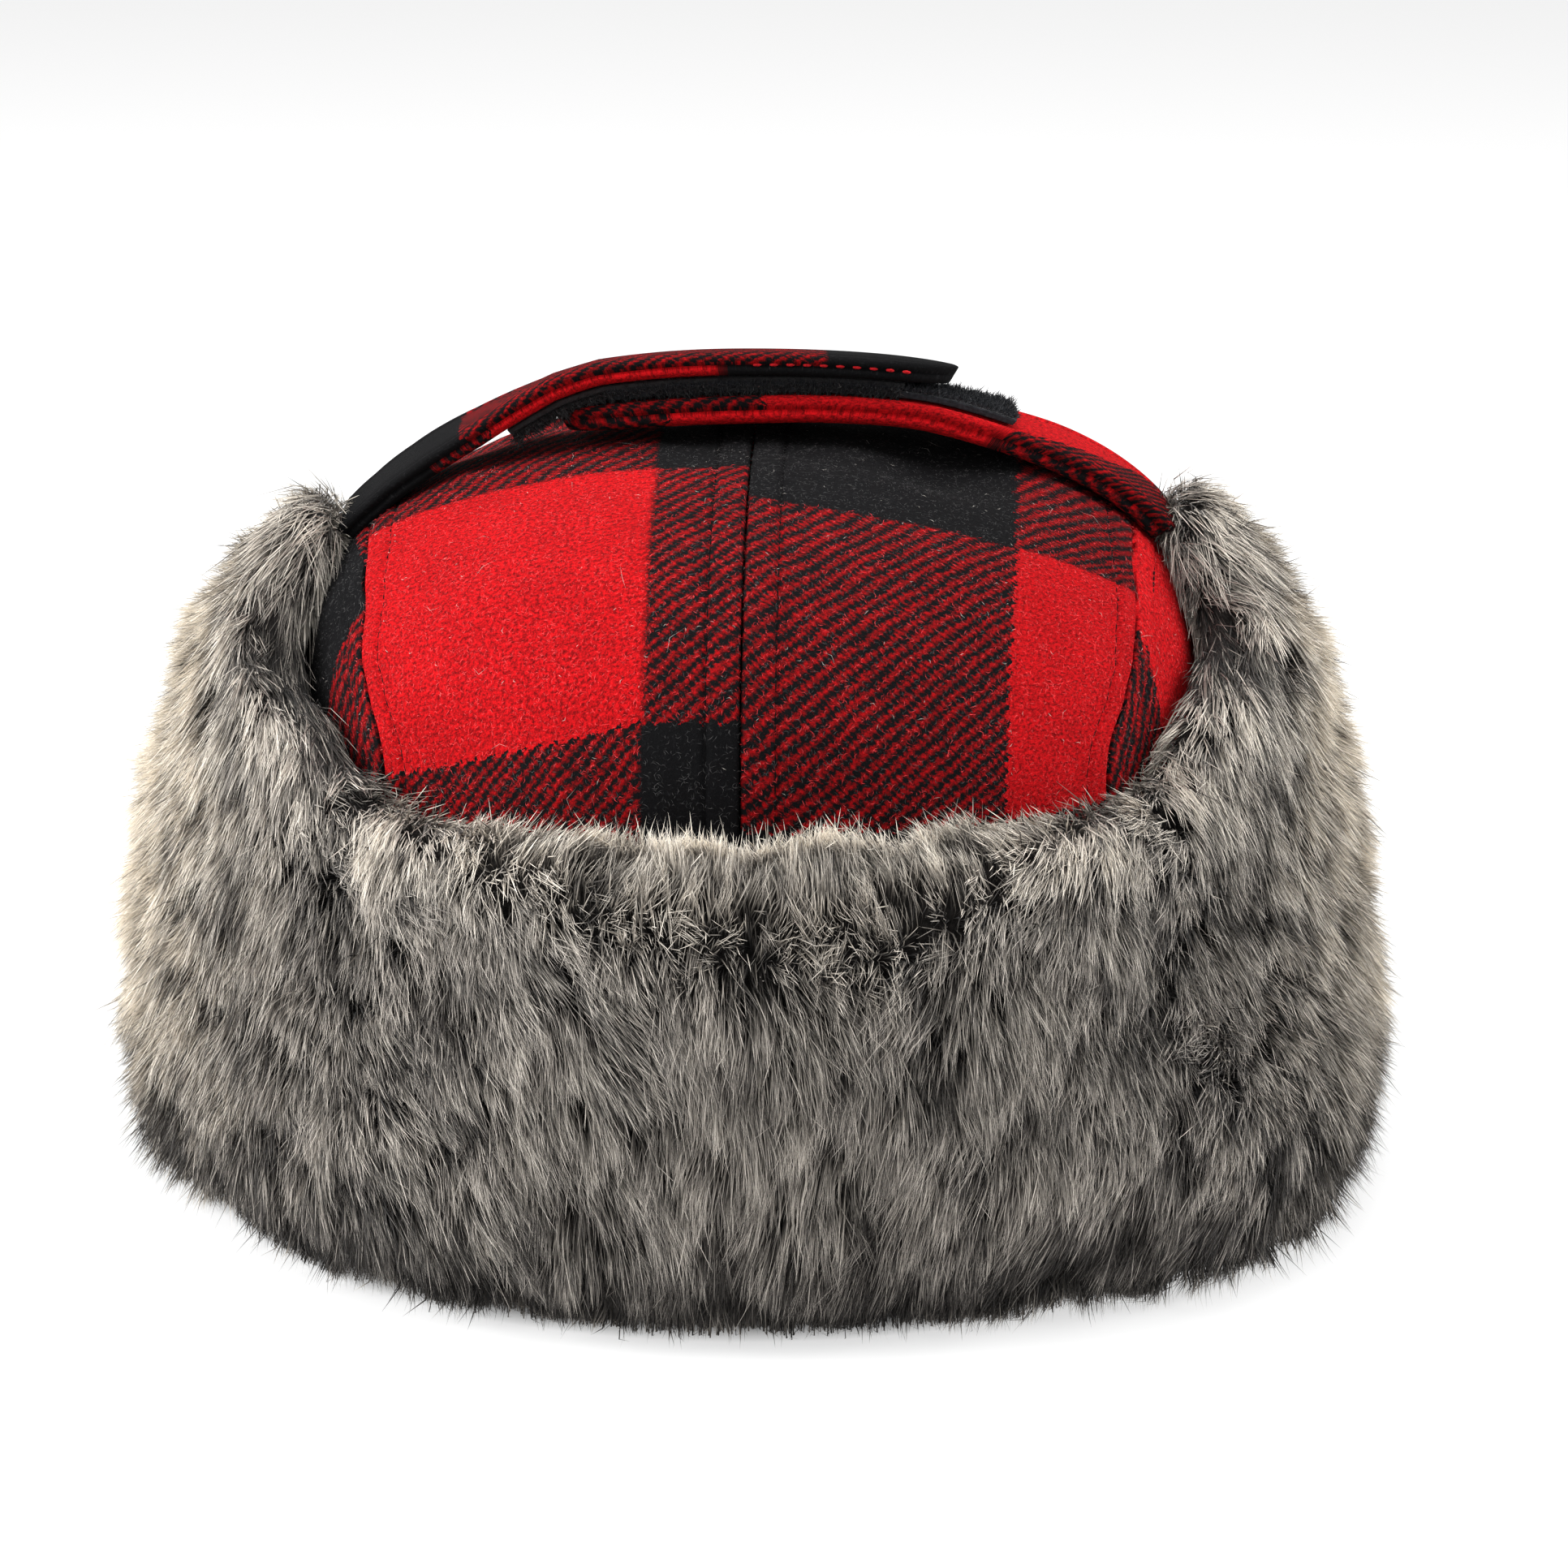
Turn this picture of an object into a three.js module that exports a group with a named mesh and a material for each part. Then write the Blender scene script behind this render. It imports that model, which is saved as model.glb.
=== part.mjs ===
// An earflap cap with its fur flaps turned up and strapped together over the crown.
// Millimetres, +Z up. The cap stands on the plane z = 0 with its front facing -Y, and the origin is
// the middle of its footprint. Left and right are the viewer's, so left is -X.
import * as THREE from "three";
import { mergeVertices } from "three/addons/utils/BufferGeometryUtils.js";

// Crown: two top panels that run from front to back and two side panels, sewn into an oval dome with
// steep sides and a flat top.
const CROWN_HALF_WIDTH = 87;
const CROWN_HALF_DEPTH = 104;
const CROWN_TOP = 139.5;
const CROWN_SHOULDER = 85; // height at which the steep side starts to round over
const CROWN_ROUNDNESS = 2.75; // 2 is an ellipse, and more is boxier
const CROWN_WALL = 3;
const CROWN_TWIST = -1.3; // degrees that the crown is turned towards the left
const SEAM_DIP = 1.4; // depth of the valley along each seam
const SEAM_GAP = 0.3;
const DENT_DEPTH = 4.5;

// Fur flaps: a band low at the front and back, with an earflap standing up at each side.
const BAND_HEIGHT = 87;
const FLAP_HEIGHT = 126;
const FLAP_START = 48; // degrees from the front at which the flap starts to rise
const FLAP_FULL = 87; // degrees from the front at which it has its full height
const FLAP_LEAN = 1.5; // how far the earflap's top leans over the crown
const FLAP_SEAM = 47; // degrees from the front, or back, to the seam beside an earflap
const BAND_TWIST = 2; // degrees that the flaps are turned towards the right
const FUR_DEPTH = 38; // backing and pile together, at the fullest place
const FOLD_THICKNESS = 5; // the fold that runs under the crown's rim
const CREASE_DEPTH = 1.5; // the parting under the front band's top hem
const CREASE_SHARE = 0.8; // its height as a share of the band's
const CREASE_SPREAD = 0.035; // half its breadth as a share of the band's height
const CLEARANCE = 0.8; // between the crown and the flaps, and under the straps

// Locks of the pile, fused to the flaps.
const LOCK_WIDTH = 21;
const LOCK_LIFT = 4; // how far a lock's tip stands above the bed of the pile
const LOCK_FLOOR = 1; // lowest height of a lock's tip
const LOCK_SINK = 1.5; // how far the next lock's root lies below the bed
const LOCK_WANDER = 0.4; // how far a tip strays sideways, in half widths
const LOCK_SPREAD = 0.25; // how much locks differ from each other, as a share
const NAP_SWAY = 1; // how far the tips turn towards the front's and back's middle, in half widths

// Straps and their hook-and-loop fastening.
const STRAP_WIDTH = 27;
const STRAP_THICKNESS = 5;
const STRAP_BEVEL = 1.4;
const STRAP_SHIFT = 7; // how far the straps' middle lies behind the crown's middle
const STRAP_BOW = 1.5; // how far the lower strap bows up off the crown
const STRAP_TILT = 4; // degrees that the straps slope down to the back
const TAPE_WIDTH = 20;
const TAPE_THICKNESS = 1.3;
const LAYER_GAP = 0.3;

// Turns, in degrees, at which the straps and tapes start and end, measured over the dome from the
// horizontal on the side that each one comes from.
const STRAP_ROOT = 25;
const LOWER_STRAP_END = 123;
const UPPER_STRAP_END = 122;
const LOOP_TAPE_START = 48;
const LOOP_TAPE_END = 114;
const HOOK_TAPE_START = 54;
const HOOK_TAPE_END = 114;

// The pile's outline, from the top edge down to the floor: height is a share of the flap's height
// there, front and flap are shares of the fur's depth.
const FUR_OUTLINE = [
  { height: 1.0, front: 0.12, flap: 0.14 },
  { height: 0.97, front: 0.3, flap: 0.32 },
  { height: 0.92, front: 0.43, flap: 0.43 },
  { height: 0.84, front: 0.54, flap: 0.54 },
  { height: 0.72, front: 0.63, flap: 0.67 },
  { height: 0.58, front: 0.68, flap: 0.79 },
  { height: 0.4, front: 0.7, flap: 0.88 },
  { height: 0.22, front: 0.68, flap: 0.91 },
  { height: 0.08, front: 0.55, flap: 0.83 },
  { height: 0.02, front: 0.32, flap: 0.68 },
  { height: 0.0, front: 0.14, flap: 0.5 },
];

// Rows of locks below the hem: each runs from root to tip, as shares of the flap's height there, with
// a share of the locks' lift, and its tips hang over the next row's roots.
const LOCK_ROWS = [
  { root: 0.79, tip: 0.56, lift: 1 },
  { root: 0.6, tip: 0.38, lift: 1 },
  { root: 0.42, tip: 0.22, lift: 1 },
  { root: 0.26, tip: 0.08, lift: 0.8 },
];
const HEM_ROW = { root: 0.8, tip: 1.0, lift: 0.6 }; // the row that stands up along the hem
const FLOOR_TUCK = 0.03; // height share at which the lowest tips are tucked under
const LOCK_EDGE_LENGTH = 0.55; // length between two tips, as a share of a lock's
const LOCK_EDGE_LIFT = 0.15; // lift between two tips, as a share of a lock's
const LOCK_MIDDLE = 0.55; // place of a lock's fullest part along its length
const LOCK_MIDDLE_LIFT = 0.8; // its lift there as a share of the tip's

// A shallow dent in the crown's top: its place and spread as shares of the crown's half sizes, from
// its middle, and its depth as a share of DENT_DEPTH.
const DENTS = [{ right: 0.44, back: -0.12, depth: 1, spread: 0.15 }];

// The seam between a top panel and a side panel, seen from above: right is its distance from the
// middle seam as a share of the crown's half width, where it has gone a share of the way from the
// crown's middle to its front or back.
const SIDE_SEAM = [
  { reach: 0, right: 0.845 },
  { reach: 0.6, right: 0.84 },
  { reach: 0.89, right: 0.828 },
  { reach: 0.96, right: 0.803 },
  { reach: 1, right: 0.765 },
];

// How far the lower strap bows up off the crown, as shares of STRAP_BOW.
const LOWER_STRAP_BOW = [
  { turn: STRAP_ROOT, bow: 0 },
  { turn: 42, bow: 0.65 },
  { turn: 60, bow: 1 },
  { turn: 90, bow: 0.65 },
  { turn: LOWER_STRAP_END, bow: 0.4 },
];

// Where the upper strap leaves the crown and climbs onto the lower one, as shares of the climb.
const UPPER_STRAP_CLIMB = [
  { turn: STRAP_ROOT, climb: 0 },
  { turn: 30, climb: 0.05 },
  { turn: 39, climb: 0.25 },
  { turn: 47, climb: 0.47 },
  { turn: 56, climb: 0.85 },
  { turn: 66, climb: 1 },
];
const TILT_START = 30; // turns between which the straps take on their tilt
const TILT_FULL = 54;

const PANEL_COLUMNS = 7;
const WALL_ROWS = 2;
const DOME_ROWS = 8;
const LOCK_COLUMNS = 4; // per lock
const STRIP_STEP = 6; // degrees between the sections of a strip
const TIP_SECTIONS = 3;
const FLAP_WALL_SHARES = [0.35, 0.65, 0.85, 0.97]; // heights of the flap's inner face

const radians = THREE.MathUtils.degToRad;
const clamp = THREE.MathUtils.clamp;
const mix = THREE.MathUtils.lerp;
const smooth = THREE.MathUtils.smoothstep;

// Value of a column of a table at x, on straight lines between its rows and level beyond its ends.
function fromTable(rows, key, column, x) {
  const rising = rows[rows.length - 1][key] > rows[0][key];
  const ordered = rising ? rows : [...rows].reverse();
  const next = ordered.findIndex((row) => row[key] > x);
  if (next === 0) return ordered[0][column];
  if (next < 0) return ordered[ordered.length - 1][column];
  const [low, high] = [ordered[next - 1], ordered[next]];
  return mix(low[column], high[column], (x - low[key]) / (high[key] - low[key]));
}

// A closed geometry through closed loops of equal length. `capOf` gives the triangles that close the
// first and the last loop, in the order of the loop's points.
function loft(loops, capOf) {
  const count = loops[0].length;
  const last = (loops.length - 1) * count;
  const index = [];
  for (let row = 0; row < last; row += count) {
    for (let i = 0; i < count; i += 1) {
      const [a, b] = [row + i, row + ((i + 1) % count)];
      index.push(a, b, b + count, a, b + count, a + count);
    }
  }
  for (const [a, b, c] of capOf(loops[0])) index.push(a, c, b);
  for (const [a, b, c] of capOf(loops[loops.length - 1])) index.push(last + a, last + b, last + c);
  return closed(loops.flat(), index);
}

// Closes a wall's end, whose outer face's points come first and its inner face's come back.
function wallCap(loop) {
  const back = loop.length - 1;
  return loop.slice(1, loop.length / 2).flatMap((_, i) => [
    [back - i, i, i + 1],
    [back - i, i + 1, back - i - 1],
  ]);
}

function fanCap(loop) {
  return loop.slice(2).map((_, i) => [0, i + 1, i + 2]);
}

// Closes a bent outline that stands upright on one plane through the Z axis.
function uprightCap(loop) {
  const away = new THREE.Vector3(loop[0].x, loop[0].y, 0).normalize();
  const flat = loop.map((p) => new THREE.Vector2(p.x * away.x + p.y * away.y, p.z));
  const flip = THREE.ShapeUtils.isClockWise(flat);
  const triangles = THREE.ShapeUtils.triangulateShape(flat, []);
  return triangles.map(([a, b, c]) => (flip ? [a, c, b] : [a, b, c]));
}

// Merges equal points, drops the triangles that vanish and turns the faces outwards.
function closed(points, index) {
  const raw = new THREE.BufferGeometry().setFromPoints(points);
  raw.setIndex(index);
  const merged = mergeVertices(raw, 1e-4);
  const place = merged.getAttribute("position");
  const corner = (i) => new THREE.Vector3().fromBufferAttribute(place, i);
  const kept = [];
  let volume = 0;
  for (let i = 0; i < merged.index.count; i += 3) {
    const [a, b, c] = [0, 1, 2].map((k) => merged.index.getX(i + k));
    if (a === b || b === c || c === a) continue;
    kept.push([a, b, c]);
    volume += corner(a).dot(corner(b).cross(corner(c)));
  }
  merged.setIndex(kept.flatMap(([a, b, c]) => (volume < 0 ? [a, c, b] : [a, b, c])));
  return merged;
}

// A point on the plan's oval, `offset` outside the crown's side. `turn` is in degrees from the front
// and grows towards the right, and `share` shrinks the oval towards the middle.
function planPoint(turn, offset, share, height) {
  const angle = radians(turn);
  return new THREE.Vector3(
    (CROWN_HALF_WIDTH + offset) * share * Math.sin(angle),
    -(CROWN_HALF_DEPTH + offset) * share * Math.cos(angle),
    height,
  );
}

function dentDepth(x, y) {
  return DENTS.reduce((sum, dent) => {
    const right = (x / CROWN_HALF_WIDTH - dent.right) / dent.spread;
    const back = (y / CROWN_HALF_DEPTH - dent.back) / dent.spread;
    return sum + DENT_DEPTH * dent.depth * Math.exp(-(right * right + back * back));
  }, 0);
}

// A point of the crown, `inset` inside its outer face. `climb` runs from 0 at the rim to 1 at the
// shoulder and 2 at the apex, and `across` from 0 to 1 between the two seams of its panel.
function crownPoint(turn, climb, across, inset) {
  const rim = FOLD_THICKNESS + SEAM_GAP;
  const dome = clamp(climb - 1, 0, 1) * (Math.PI / 2);
  const share = Math.pow(Math.max(Math.cos(dome), 0), 2 / CROWN_ROUNDNESS);
  const rise = Math.pow(Math.sin(dome), 2 / CROWN_ROUNDNESS);
  const seam = SEAM_DIP * Math.pow(Math.abs(2 * across - 1), 3) * smooth(climb, 0.3, 1);
  const place = planPoint(turn, 0, share, 0);
  const depth = inset + seam + (climb > 1 ? dentDepth(place.x, place.y) : 0);
  const shoulder = mix(rim, CROWN_SHOULDER, Math.min(climb, 1));
  const height = shoulder + rise * (CROWN_TOP - CROWN_SHOULDER - depth);
  return planPoint(turn + CROWN_TWIST, -depth * Math.min(1, share * 3), share, height);
}

// Turn and climb of the dome's point that lies a share `right` of the half width from the middle, on
// the curve across the crown that has gone a share `reach` of the way to the front.
function domePlace(right, reach) {
  const front = reach * Math.sqrt(1 - right * right);
  const share = Math.min(Math.hypot(right, front), 1);
  const dome = Math.acos(Math.pow(share, CROWN_ROUNDNESS / 2));
  return { turn: THREE.MathUtils.radToDeg(Math.atan2(right, front)), climb: 1 + dome / (Math.PI / 2) };
}

function sideSeam(reach) {
  return fromTable(SIDE_SEAM, "reach", "right", Math.abs(reach));
}

const wallClimbs = Array.from({ length: WALL_ROWS }, (_, i) => i / WALL_ROWS);
const domeReaches = Array.from({ length: DOME_ROWS + 1 }, (_, i) => {
  return Math.pow(Math.cos((i / DOME_ROWS) * (Math.PI / 2)), 2 / CROWN_ROUNDNESS);
});
const panelColumns = Array.from({ length: PANEL_COLUMNS + 1 }, (_, i) => i / PANEL_COLUMNS);
const seamMargin = SEAM_GAP / 2 / CROWN_HALF_WIDTH;

// A panel's wall through its rows, each a list of places with their turn, climb and share across.
function crownWall(side, rows) {
  const face = (row, inset) => {
    return row.map(({ turn, climb, across }) => crownPoint(side * turn, climb, across, inset));
  };
  const loops = rows.map((row) => [...face(row, 0), ...face(row, CROWN_WALL).reverse()]);
  return loft(loops, wallCap);
}

// One top panel, from the front rim over the crown to the back rim. side is 1 on the right.
function topPanel(side) {
  const section = (reach, climb) => {
    return panelColumns.map((across) => {
      const right = mix(seamMargin, sideSeam(reach) - seamMargin, across);
      const place = domePlace(right, reach);
      return { turn: place.turn, climb: climb ?? place.climb, across };
    });
  };
  return crownWall(side, [
    ...wallClimbs.map((climb) => section(1, climb)),
    ...domeReaches.map((reach) => section(reach)),
    ...domeReaches.slice(0, -1).reverse().map((reach) => section(-reach)),
    ...[...wallClimbs].reverse().map((climb) => section(-1, climb)),
  ]);
}

// One side panel, from the rim up to the seam that arches over it.
function sidePanel(side) {
  const row = (reach, climb) => {
    const front = domePlace(sideSeam(reach) + seamMargin, reach);
    return panelColumns.map((across) => {
      return { turn: mix(front.turn, 180 - front.turn, across), climb: climb ?? front.climb, across };
    });
  };
  return crownWall(side, [
    ...wallClimbs.map((climb) => row(1, climb)),
    ...domeReaches.map((reach) => row(reach)),
  ]);
}

// How much of an earflap there is at a turn: 0 in the low band, 1 at the flap's middle.
function flapRise(turn) {
  const fromFront = Math.abs(THREE.MathUtils.euclideanModulo(turn + 180, 360) - 180);
  const folded = fromFront > 90 ? 180 - fromFront : fromFront;
  return smooth(folded, FLAP_START, FLAP_FULL);
}

function flapHeight(turn) {
  return mix(BAND_HEIGHT, FLAP_HEIGHT, flapRise(turn));
}

// How deep the parting under the front band's hem is at a turn and height share.
function creaseDepth(turn, share) {
  const fromFront = Math.abs(THREE.MathUtils.euclideanModulo(turn + 180, 360) - 180);
  const near = Math.exp(-Math.pow((share - CREASE_SHARE) / CREASE_SPREAD, 2));
  return CREASE_DEPTH * near * (1 - smooth(fromFront, FLAP_SEAM * 0.6, FLAP_SEAM));
}

// How far the flap leans towards the crown at a height, as a negative offset.
function flapLean(height) {
  const over = clamp((height - CROWN_SHOULDER) / (FLAP_HEIGHT - CROWN_SHOULDER), 0, 1);
  return -FLAP_LEAN * Math.pow(over, 1.5);
}

// A point of the pile's bed at a turn and a share of the height, raised by `lift` off its surface.
function furPoint(turn, share, lift) {
  const place = (t, s) => {
    const height = s * flapHeight(t);
    const front = fromTable(FUR_OUTLINE, "height", "front", s);
    const flap = fromTable(FUR_OUTLINE, "height", "flap", s);
    const pile = FUR_DEPTH * mix(front, flap, flapRise(t)) - creaseDepth(t, s);
    return planPoint(t + BAND_TWIST, CLEARANCE + pile + flapLean(height), 1, height);
  };
  const here = place(turn, share);
  if (lift === 0) return here;
  const along = place(turn + 0.5, share).sub(place(turn - 0.5, share));
  const up = place(turn, share + 0.02).sub(place(turn, share - 0.02));
  return here.addScaledVector(along.cross(up).normalize(), lift);
}

// A repeatable number from -1 to 1 that keeps neighbouring locks from looking alike.
function wobble(seed) {
  const wave = Math.sin(seed * 12.9898) * 43758.5453;
  return 2 * (wave - Math.floor(wave)) - 1;
}

// The middle and the tip of a row's lock at one column of a flap. `inside` fades from 1 to 0 at the
// flap's ends, and `flapSeed` tells the flaps apart.
function lockPoints(row, number, { column, turn, step, inside, flapSeed }) {
  const phase = (column + (number % 2) * (LOCK_COLUMNS / 2)) / LOCK_COLUMNS;
  const across = Math.abs(2 * (phase - Math.floor(phase)) - 1);
  const seed = 31 * number + 7 * Math.floor(phase) + flapSeed;
  const pointed = (1 - across) * inside;
  const rounded = Math.cos((across * Math.PI) / 2) * inside;
  const length = (row.tip - row.root) * (1 + LOCK_SPREAD * wobble(seed) * pointed);
  const reach = length * mix(LOCK_EDGE_LENGTH, 1, pointed);
  const varied = 1 + LOCK_SPREAD * wobble(seed + 1);
  const lift = LOCK_LIFT * row.lift * mix(LOCK_EDGE_LIFT, varied, rounded) * inside;
  const nap = row.tip < row.root ? -NAP_SWAY * Math.sin(2 * radians(turn)) * inside : 0;
  const sway = (nap + LOCK_WANDER * wobble(seed + 2) * pointed) * step * (LOCK_COLUMNS / 2);
  const middle = row.root + reach * LOCK_MIDDLE;
  const tip = furPoint(turn + sway, row.root + reach, lift);
  tip.z = Math.max(tip.z, LOCK_FLOOR);
  return [furPoint(turn + sway * LOCK_MIDDLE, middle, lift * LOCK_MIDDLE_LIFT), tip];
}

// The flap's section at a turn: the fold under the crown, the inner face, the locks that stand up
// along the hem, and the rows that hang down to the floor.
function flapSection(place) {
  const { turn, inside } = place;
  const top = flapHeight(turn);
  const at = (offset, height) => planPoint(turn + BAND_TWIST, offset, 1, height);
  const face = (share) => at(CLEARANCE + flapLean(share * top), share * top);
  const tuck = (share) => furPoint(turn, share, -LOCK_SINK * inside);
  const points = [
    at(-CROWN_WALL, 0),
    at(-CROWN_WALL, FOLD_THICKNESS),
    at(CLEARANCE, FOLD_THICKNESS),
    ...FLAP_WALL_SHARES.map(face),
    ...lockPoints(HEM_ROW, 0, place).reverse(),
  ];
  LOCK_ROWS.forEach((row, i) => {
    points.push(tuck(row.root), ...lockPoints(row, i + 1, place));
  });
  return [...points, tuck(FLOOR_TUCK), furPoint(turn, 0, 0)];
}

// A stretch of the turned-up fur between two seams, with its locks fused to its backing.
function furFlap(from, to) {
  const margin = THREE.MathUtils.radToDeg(SEAM_GAP / 2 / CROWN_HALF_WIDTH);
  const reach = (CROWN_HALF_WIDTH + CROWN_HALF_DEPTH) / 2 + FUR_DEPTH;
  const columns = LOCK_COLUMNS * Math.round((radians(to - from) * reach) / LOCK_WIDTH);
  const step = (to - from - 2 * margin) / columns;
  const sections = Array.from({ length: columns + 1 }, (_, column) => {
    const turn = from + margin + column * step;
    const inside = smooth(Math.min(column, columns - column), 0, LOCK_COLUMNS);
    return flapSection({ column, turn, step, inside, flapSeed: from });
  });
  return loft(sections, uprightCap);
}

// Distance from the dome's middle to the crown's outer face, in its middle section across the head
// and in a direction `turn` degrees above the horizontal.
function domeRadius(turn) {
  const across = Math.abs(Math.cos(radians(turn))) / CROWN_HALF_WIDTH;
  const up = Math.sin(radians(turn)) / (CROWN_TOP - CROWN_SHOULDER);
  const sum = Math.pow(across, CROWN_ROUNDNESS) + Math.pow(up, CROWN_ROUNDNESS);
  return Math.pow(sum, -1 / CROWN_ROUNDNESS);
}

// Turns and widths of a strip's sections. Its layers share the same turns, so that they stay
// parallel, and a round end is cut into a half circle.
function stripSections(from, to, width, roundEnd) {
  const tip = roundEnd ? THREE.MathUtils.radToDeg(width / 2 / domeRadius(to)) : 0;
  const first = Math.floor(from / STRIP_STEP) + 1;
  const last = Math.ceil((to - tip) / STRIP_STEP) - 1;
  const rows = [{ turn: from, wide: width }];
  for (let i = first; i <= last; i += 1) rows.push({ turn: i * STRIP_STEP, wide: width });
  rows.push({ turn: to - tip, wide: width });
  for (let i = 1; roundEnd && i <= TIP_SECTIONS; i += 1) {
    const angle = radians((80 * i) / TIP_SECTIONS);
    rows.push({ turn: to - tip * (1 - Math.sin(angle)), wide: width * Math.cos(angle) });
  }
  return rows;
}

// A strip laid over the dome from one side: side is 1 from the right and -1 from the left, and
// `underside` gives the height of its lower face above the crown at a turn.
function strip({ side, from, to, underside, thickness, width, bevel, roundEnd }) {
  const outline = [
    { across: -0.5, inset: 0, layer: 0, shift: bevel },
    { across: -0.5, inset: 0, layer: 1, shift: -bevel },
    { across: -0.5, inset: bevel, layer: 1, shift: 0 },
    { across: 0.5, inset: -bevel, layer: 1, shift: 0 },
    { across: 0.5, inset: 0, layer: 1, shift: -bevel },
    { across: 0.5, inset: 0, layer: 0, shift: bevel },
    { across: 0.5, inset: -bevel, layer: 0, shift: 0 },
    { across: -0.5, inset: bevel, layer: 0, shift: 0 },
  ];
  const sections = stripSections(from, to, width, roundEnd).map(({ turn, wide }) => {
    const tilt = Math.tan(radians(STRAP_TILT)) * smooth(turn, TILT_START, TILT_FULL);
    return outline.map(({ across, inset, layer, shift }) => {
      const w = across * wide + inset;
      const rise = tilt * (STRAP_WIDTH / 2 - w);
      const reach = domeRadius(turn) + underside(turn) + rise + layer * thickness + shift;
      const height = CROWN_SHOULDER + reach * Math.sin(radians(turn));
      return new THREE.Vector3(side * reach * Math.cos(radians(turn)), STRAP_SHIFT + w, height);
    });
  });
  return loft(sections, fanCap);
}

// Heights of the layers' undersides over the crown, from the lower strap up.
const lowerStrap = (turn) => {
  return CLEARANCE + STRAP_BOW * fromTable(LOWER_STRAP_BOW, "turn", "bow", turn);
};
const loopTape = (turn) => lowerStrap(turn) + STRAP_THICKNESS + LAYER_GAP;
// The upper strap comes from the other side, so its turns are mirrored to read the lower one.
const hookTape = (turn) => {
  const carried = loopTape(180 - turn) + TAPE_THICKNESS + LAYER_GAP;
  const climb = fromTable(UPPER_STRAP_CLIMB, "turn", "climb", turn);
  return mix(CLEARANCE - TAPE_THICKNESS - LAYER_GAP, carried, climb);
};
const upperStrap = (turn) => hookTape(turn) + TAPE_THICKNESS + LAYER_GAP;

const WOOL = { color: 0xb01418, roughness: 0.95, metalness: 0 };
const FUR = { color: 0x7d7772, roughness: 1, metalness: 0 };
const LOOP_TAPE = { color: 0x15171c, roughness: 1, metalness: 0 };
const HOOK_TAPE = { color: 0x0c0c0d, roughness: 0.6, metalness: 0 };

const cap = new THREE.Group();
function add(name, geometry, finish) {
  geometry.computeVertexNormals();
  const mesh = new THREE.Mesh(geometry, new THREE.MeshStandardMaterial(finish));
  mesh.name = name;
  cap.add(mesh);
}

add("crown_top_right", topPanel(1), WOOL);
add("crown_top_left", topPanel(-1), WOOL);
add("crown_side_right", sidePanel(1), WOOL);
add("crown_side_left", sidePanel(-1), WOOL);

const FLAPS = [
  { name: "front_band", from: -FLAP_SEAM, to: FLAP_SEAM },
  { name: "earflap_right", from: FLAP_SEAM, to: 180 - FLAP_SEAM },
  { name: "back_band", from: 180 - FLAP_SEAM, to: 180 + FLAP_SEAM },
  { name: "earflap_left", from: 180 + FLAP_SEAM, to: 360 - FLAP_SEAM },
];
for (const { name, from, to } of FLAPS) {
  add(name, furFlap(from, to), FUR);
}

add(
  "strap_lower",
  strip({
    side: 1,
    from: STRAP_ROOT,
    to: LOWER_STRAP_END,
    underside: lowerStrap,
    thickness: STRAP_THICKNESS,
    width: STRAP_WIDTH,
    bevel: STRAP_BEVEL,
    roundEnd: true,
  }),
  WOOL,
);
add(
  "loop_tape",
  strip({
    side: 1,
    from: LOOP_TAPE_START,
    to: LOOP_TAPE_END,
    underside: loopTape,
    thickness: TAPE_THICKNESS,
    width: TAPE_WIDTH,
    bevel: 0,
    roundEnd: false,
  }),
  LOOP_TAPE,
);
add(
  "hook_tape",
  strip({
    side: -1,
    from: HOOK_TAPE_START,
    to: HOOK_TAPE_END,
    underside: hookTape,
    thickness: TAPE_THICKNESS,
    width: TAPE_WIDTH,
    bevel: 0,
    roundEnd: false,
  }),
  HOOK_TAPE,
);
add(
  "strap_upper",
  strip({
    side: -1,
    from: STRAP_ROOT,
    to: UPPER_STRAP_END,
    underside: upperStrap,
    thickness: STRAP_THICKNESS,
    width: STRAP_WIDTH,
    bevel: STRAP_BEVEL,
    roundEnd: true,
  }),
  WOOL,
);

// The middle of the footprint becomes the origin.
const footprint = new THREE.Box3().setFromObject(cap).getCenter(new THREE.Vector3());
cap.position.set(-footprint.x, -footprint.y, 0);
cap.updateMatrixWorld(true);

export default cap;
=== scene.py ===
# %% [markdown]
# # Dressing an earflap cap
# The cap stands on its turned-up flaps, with two straps fastened over the crown. Its solids come
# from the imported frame. This lesson puts the looks around them: brushed wool with its seams and
# stitches, two doubled straps, hook and loop tape, and a deep pile made of single strands. All
# lengths below are in millimetres, and become metres only where a mesh is written.

# %% Load the frame
import math

import bmesh
import bpy
import numpy as np
from mathutils import Matrix, Vector


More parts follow.
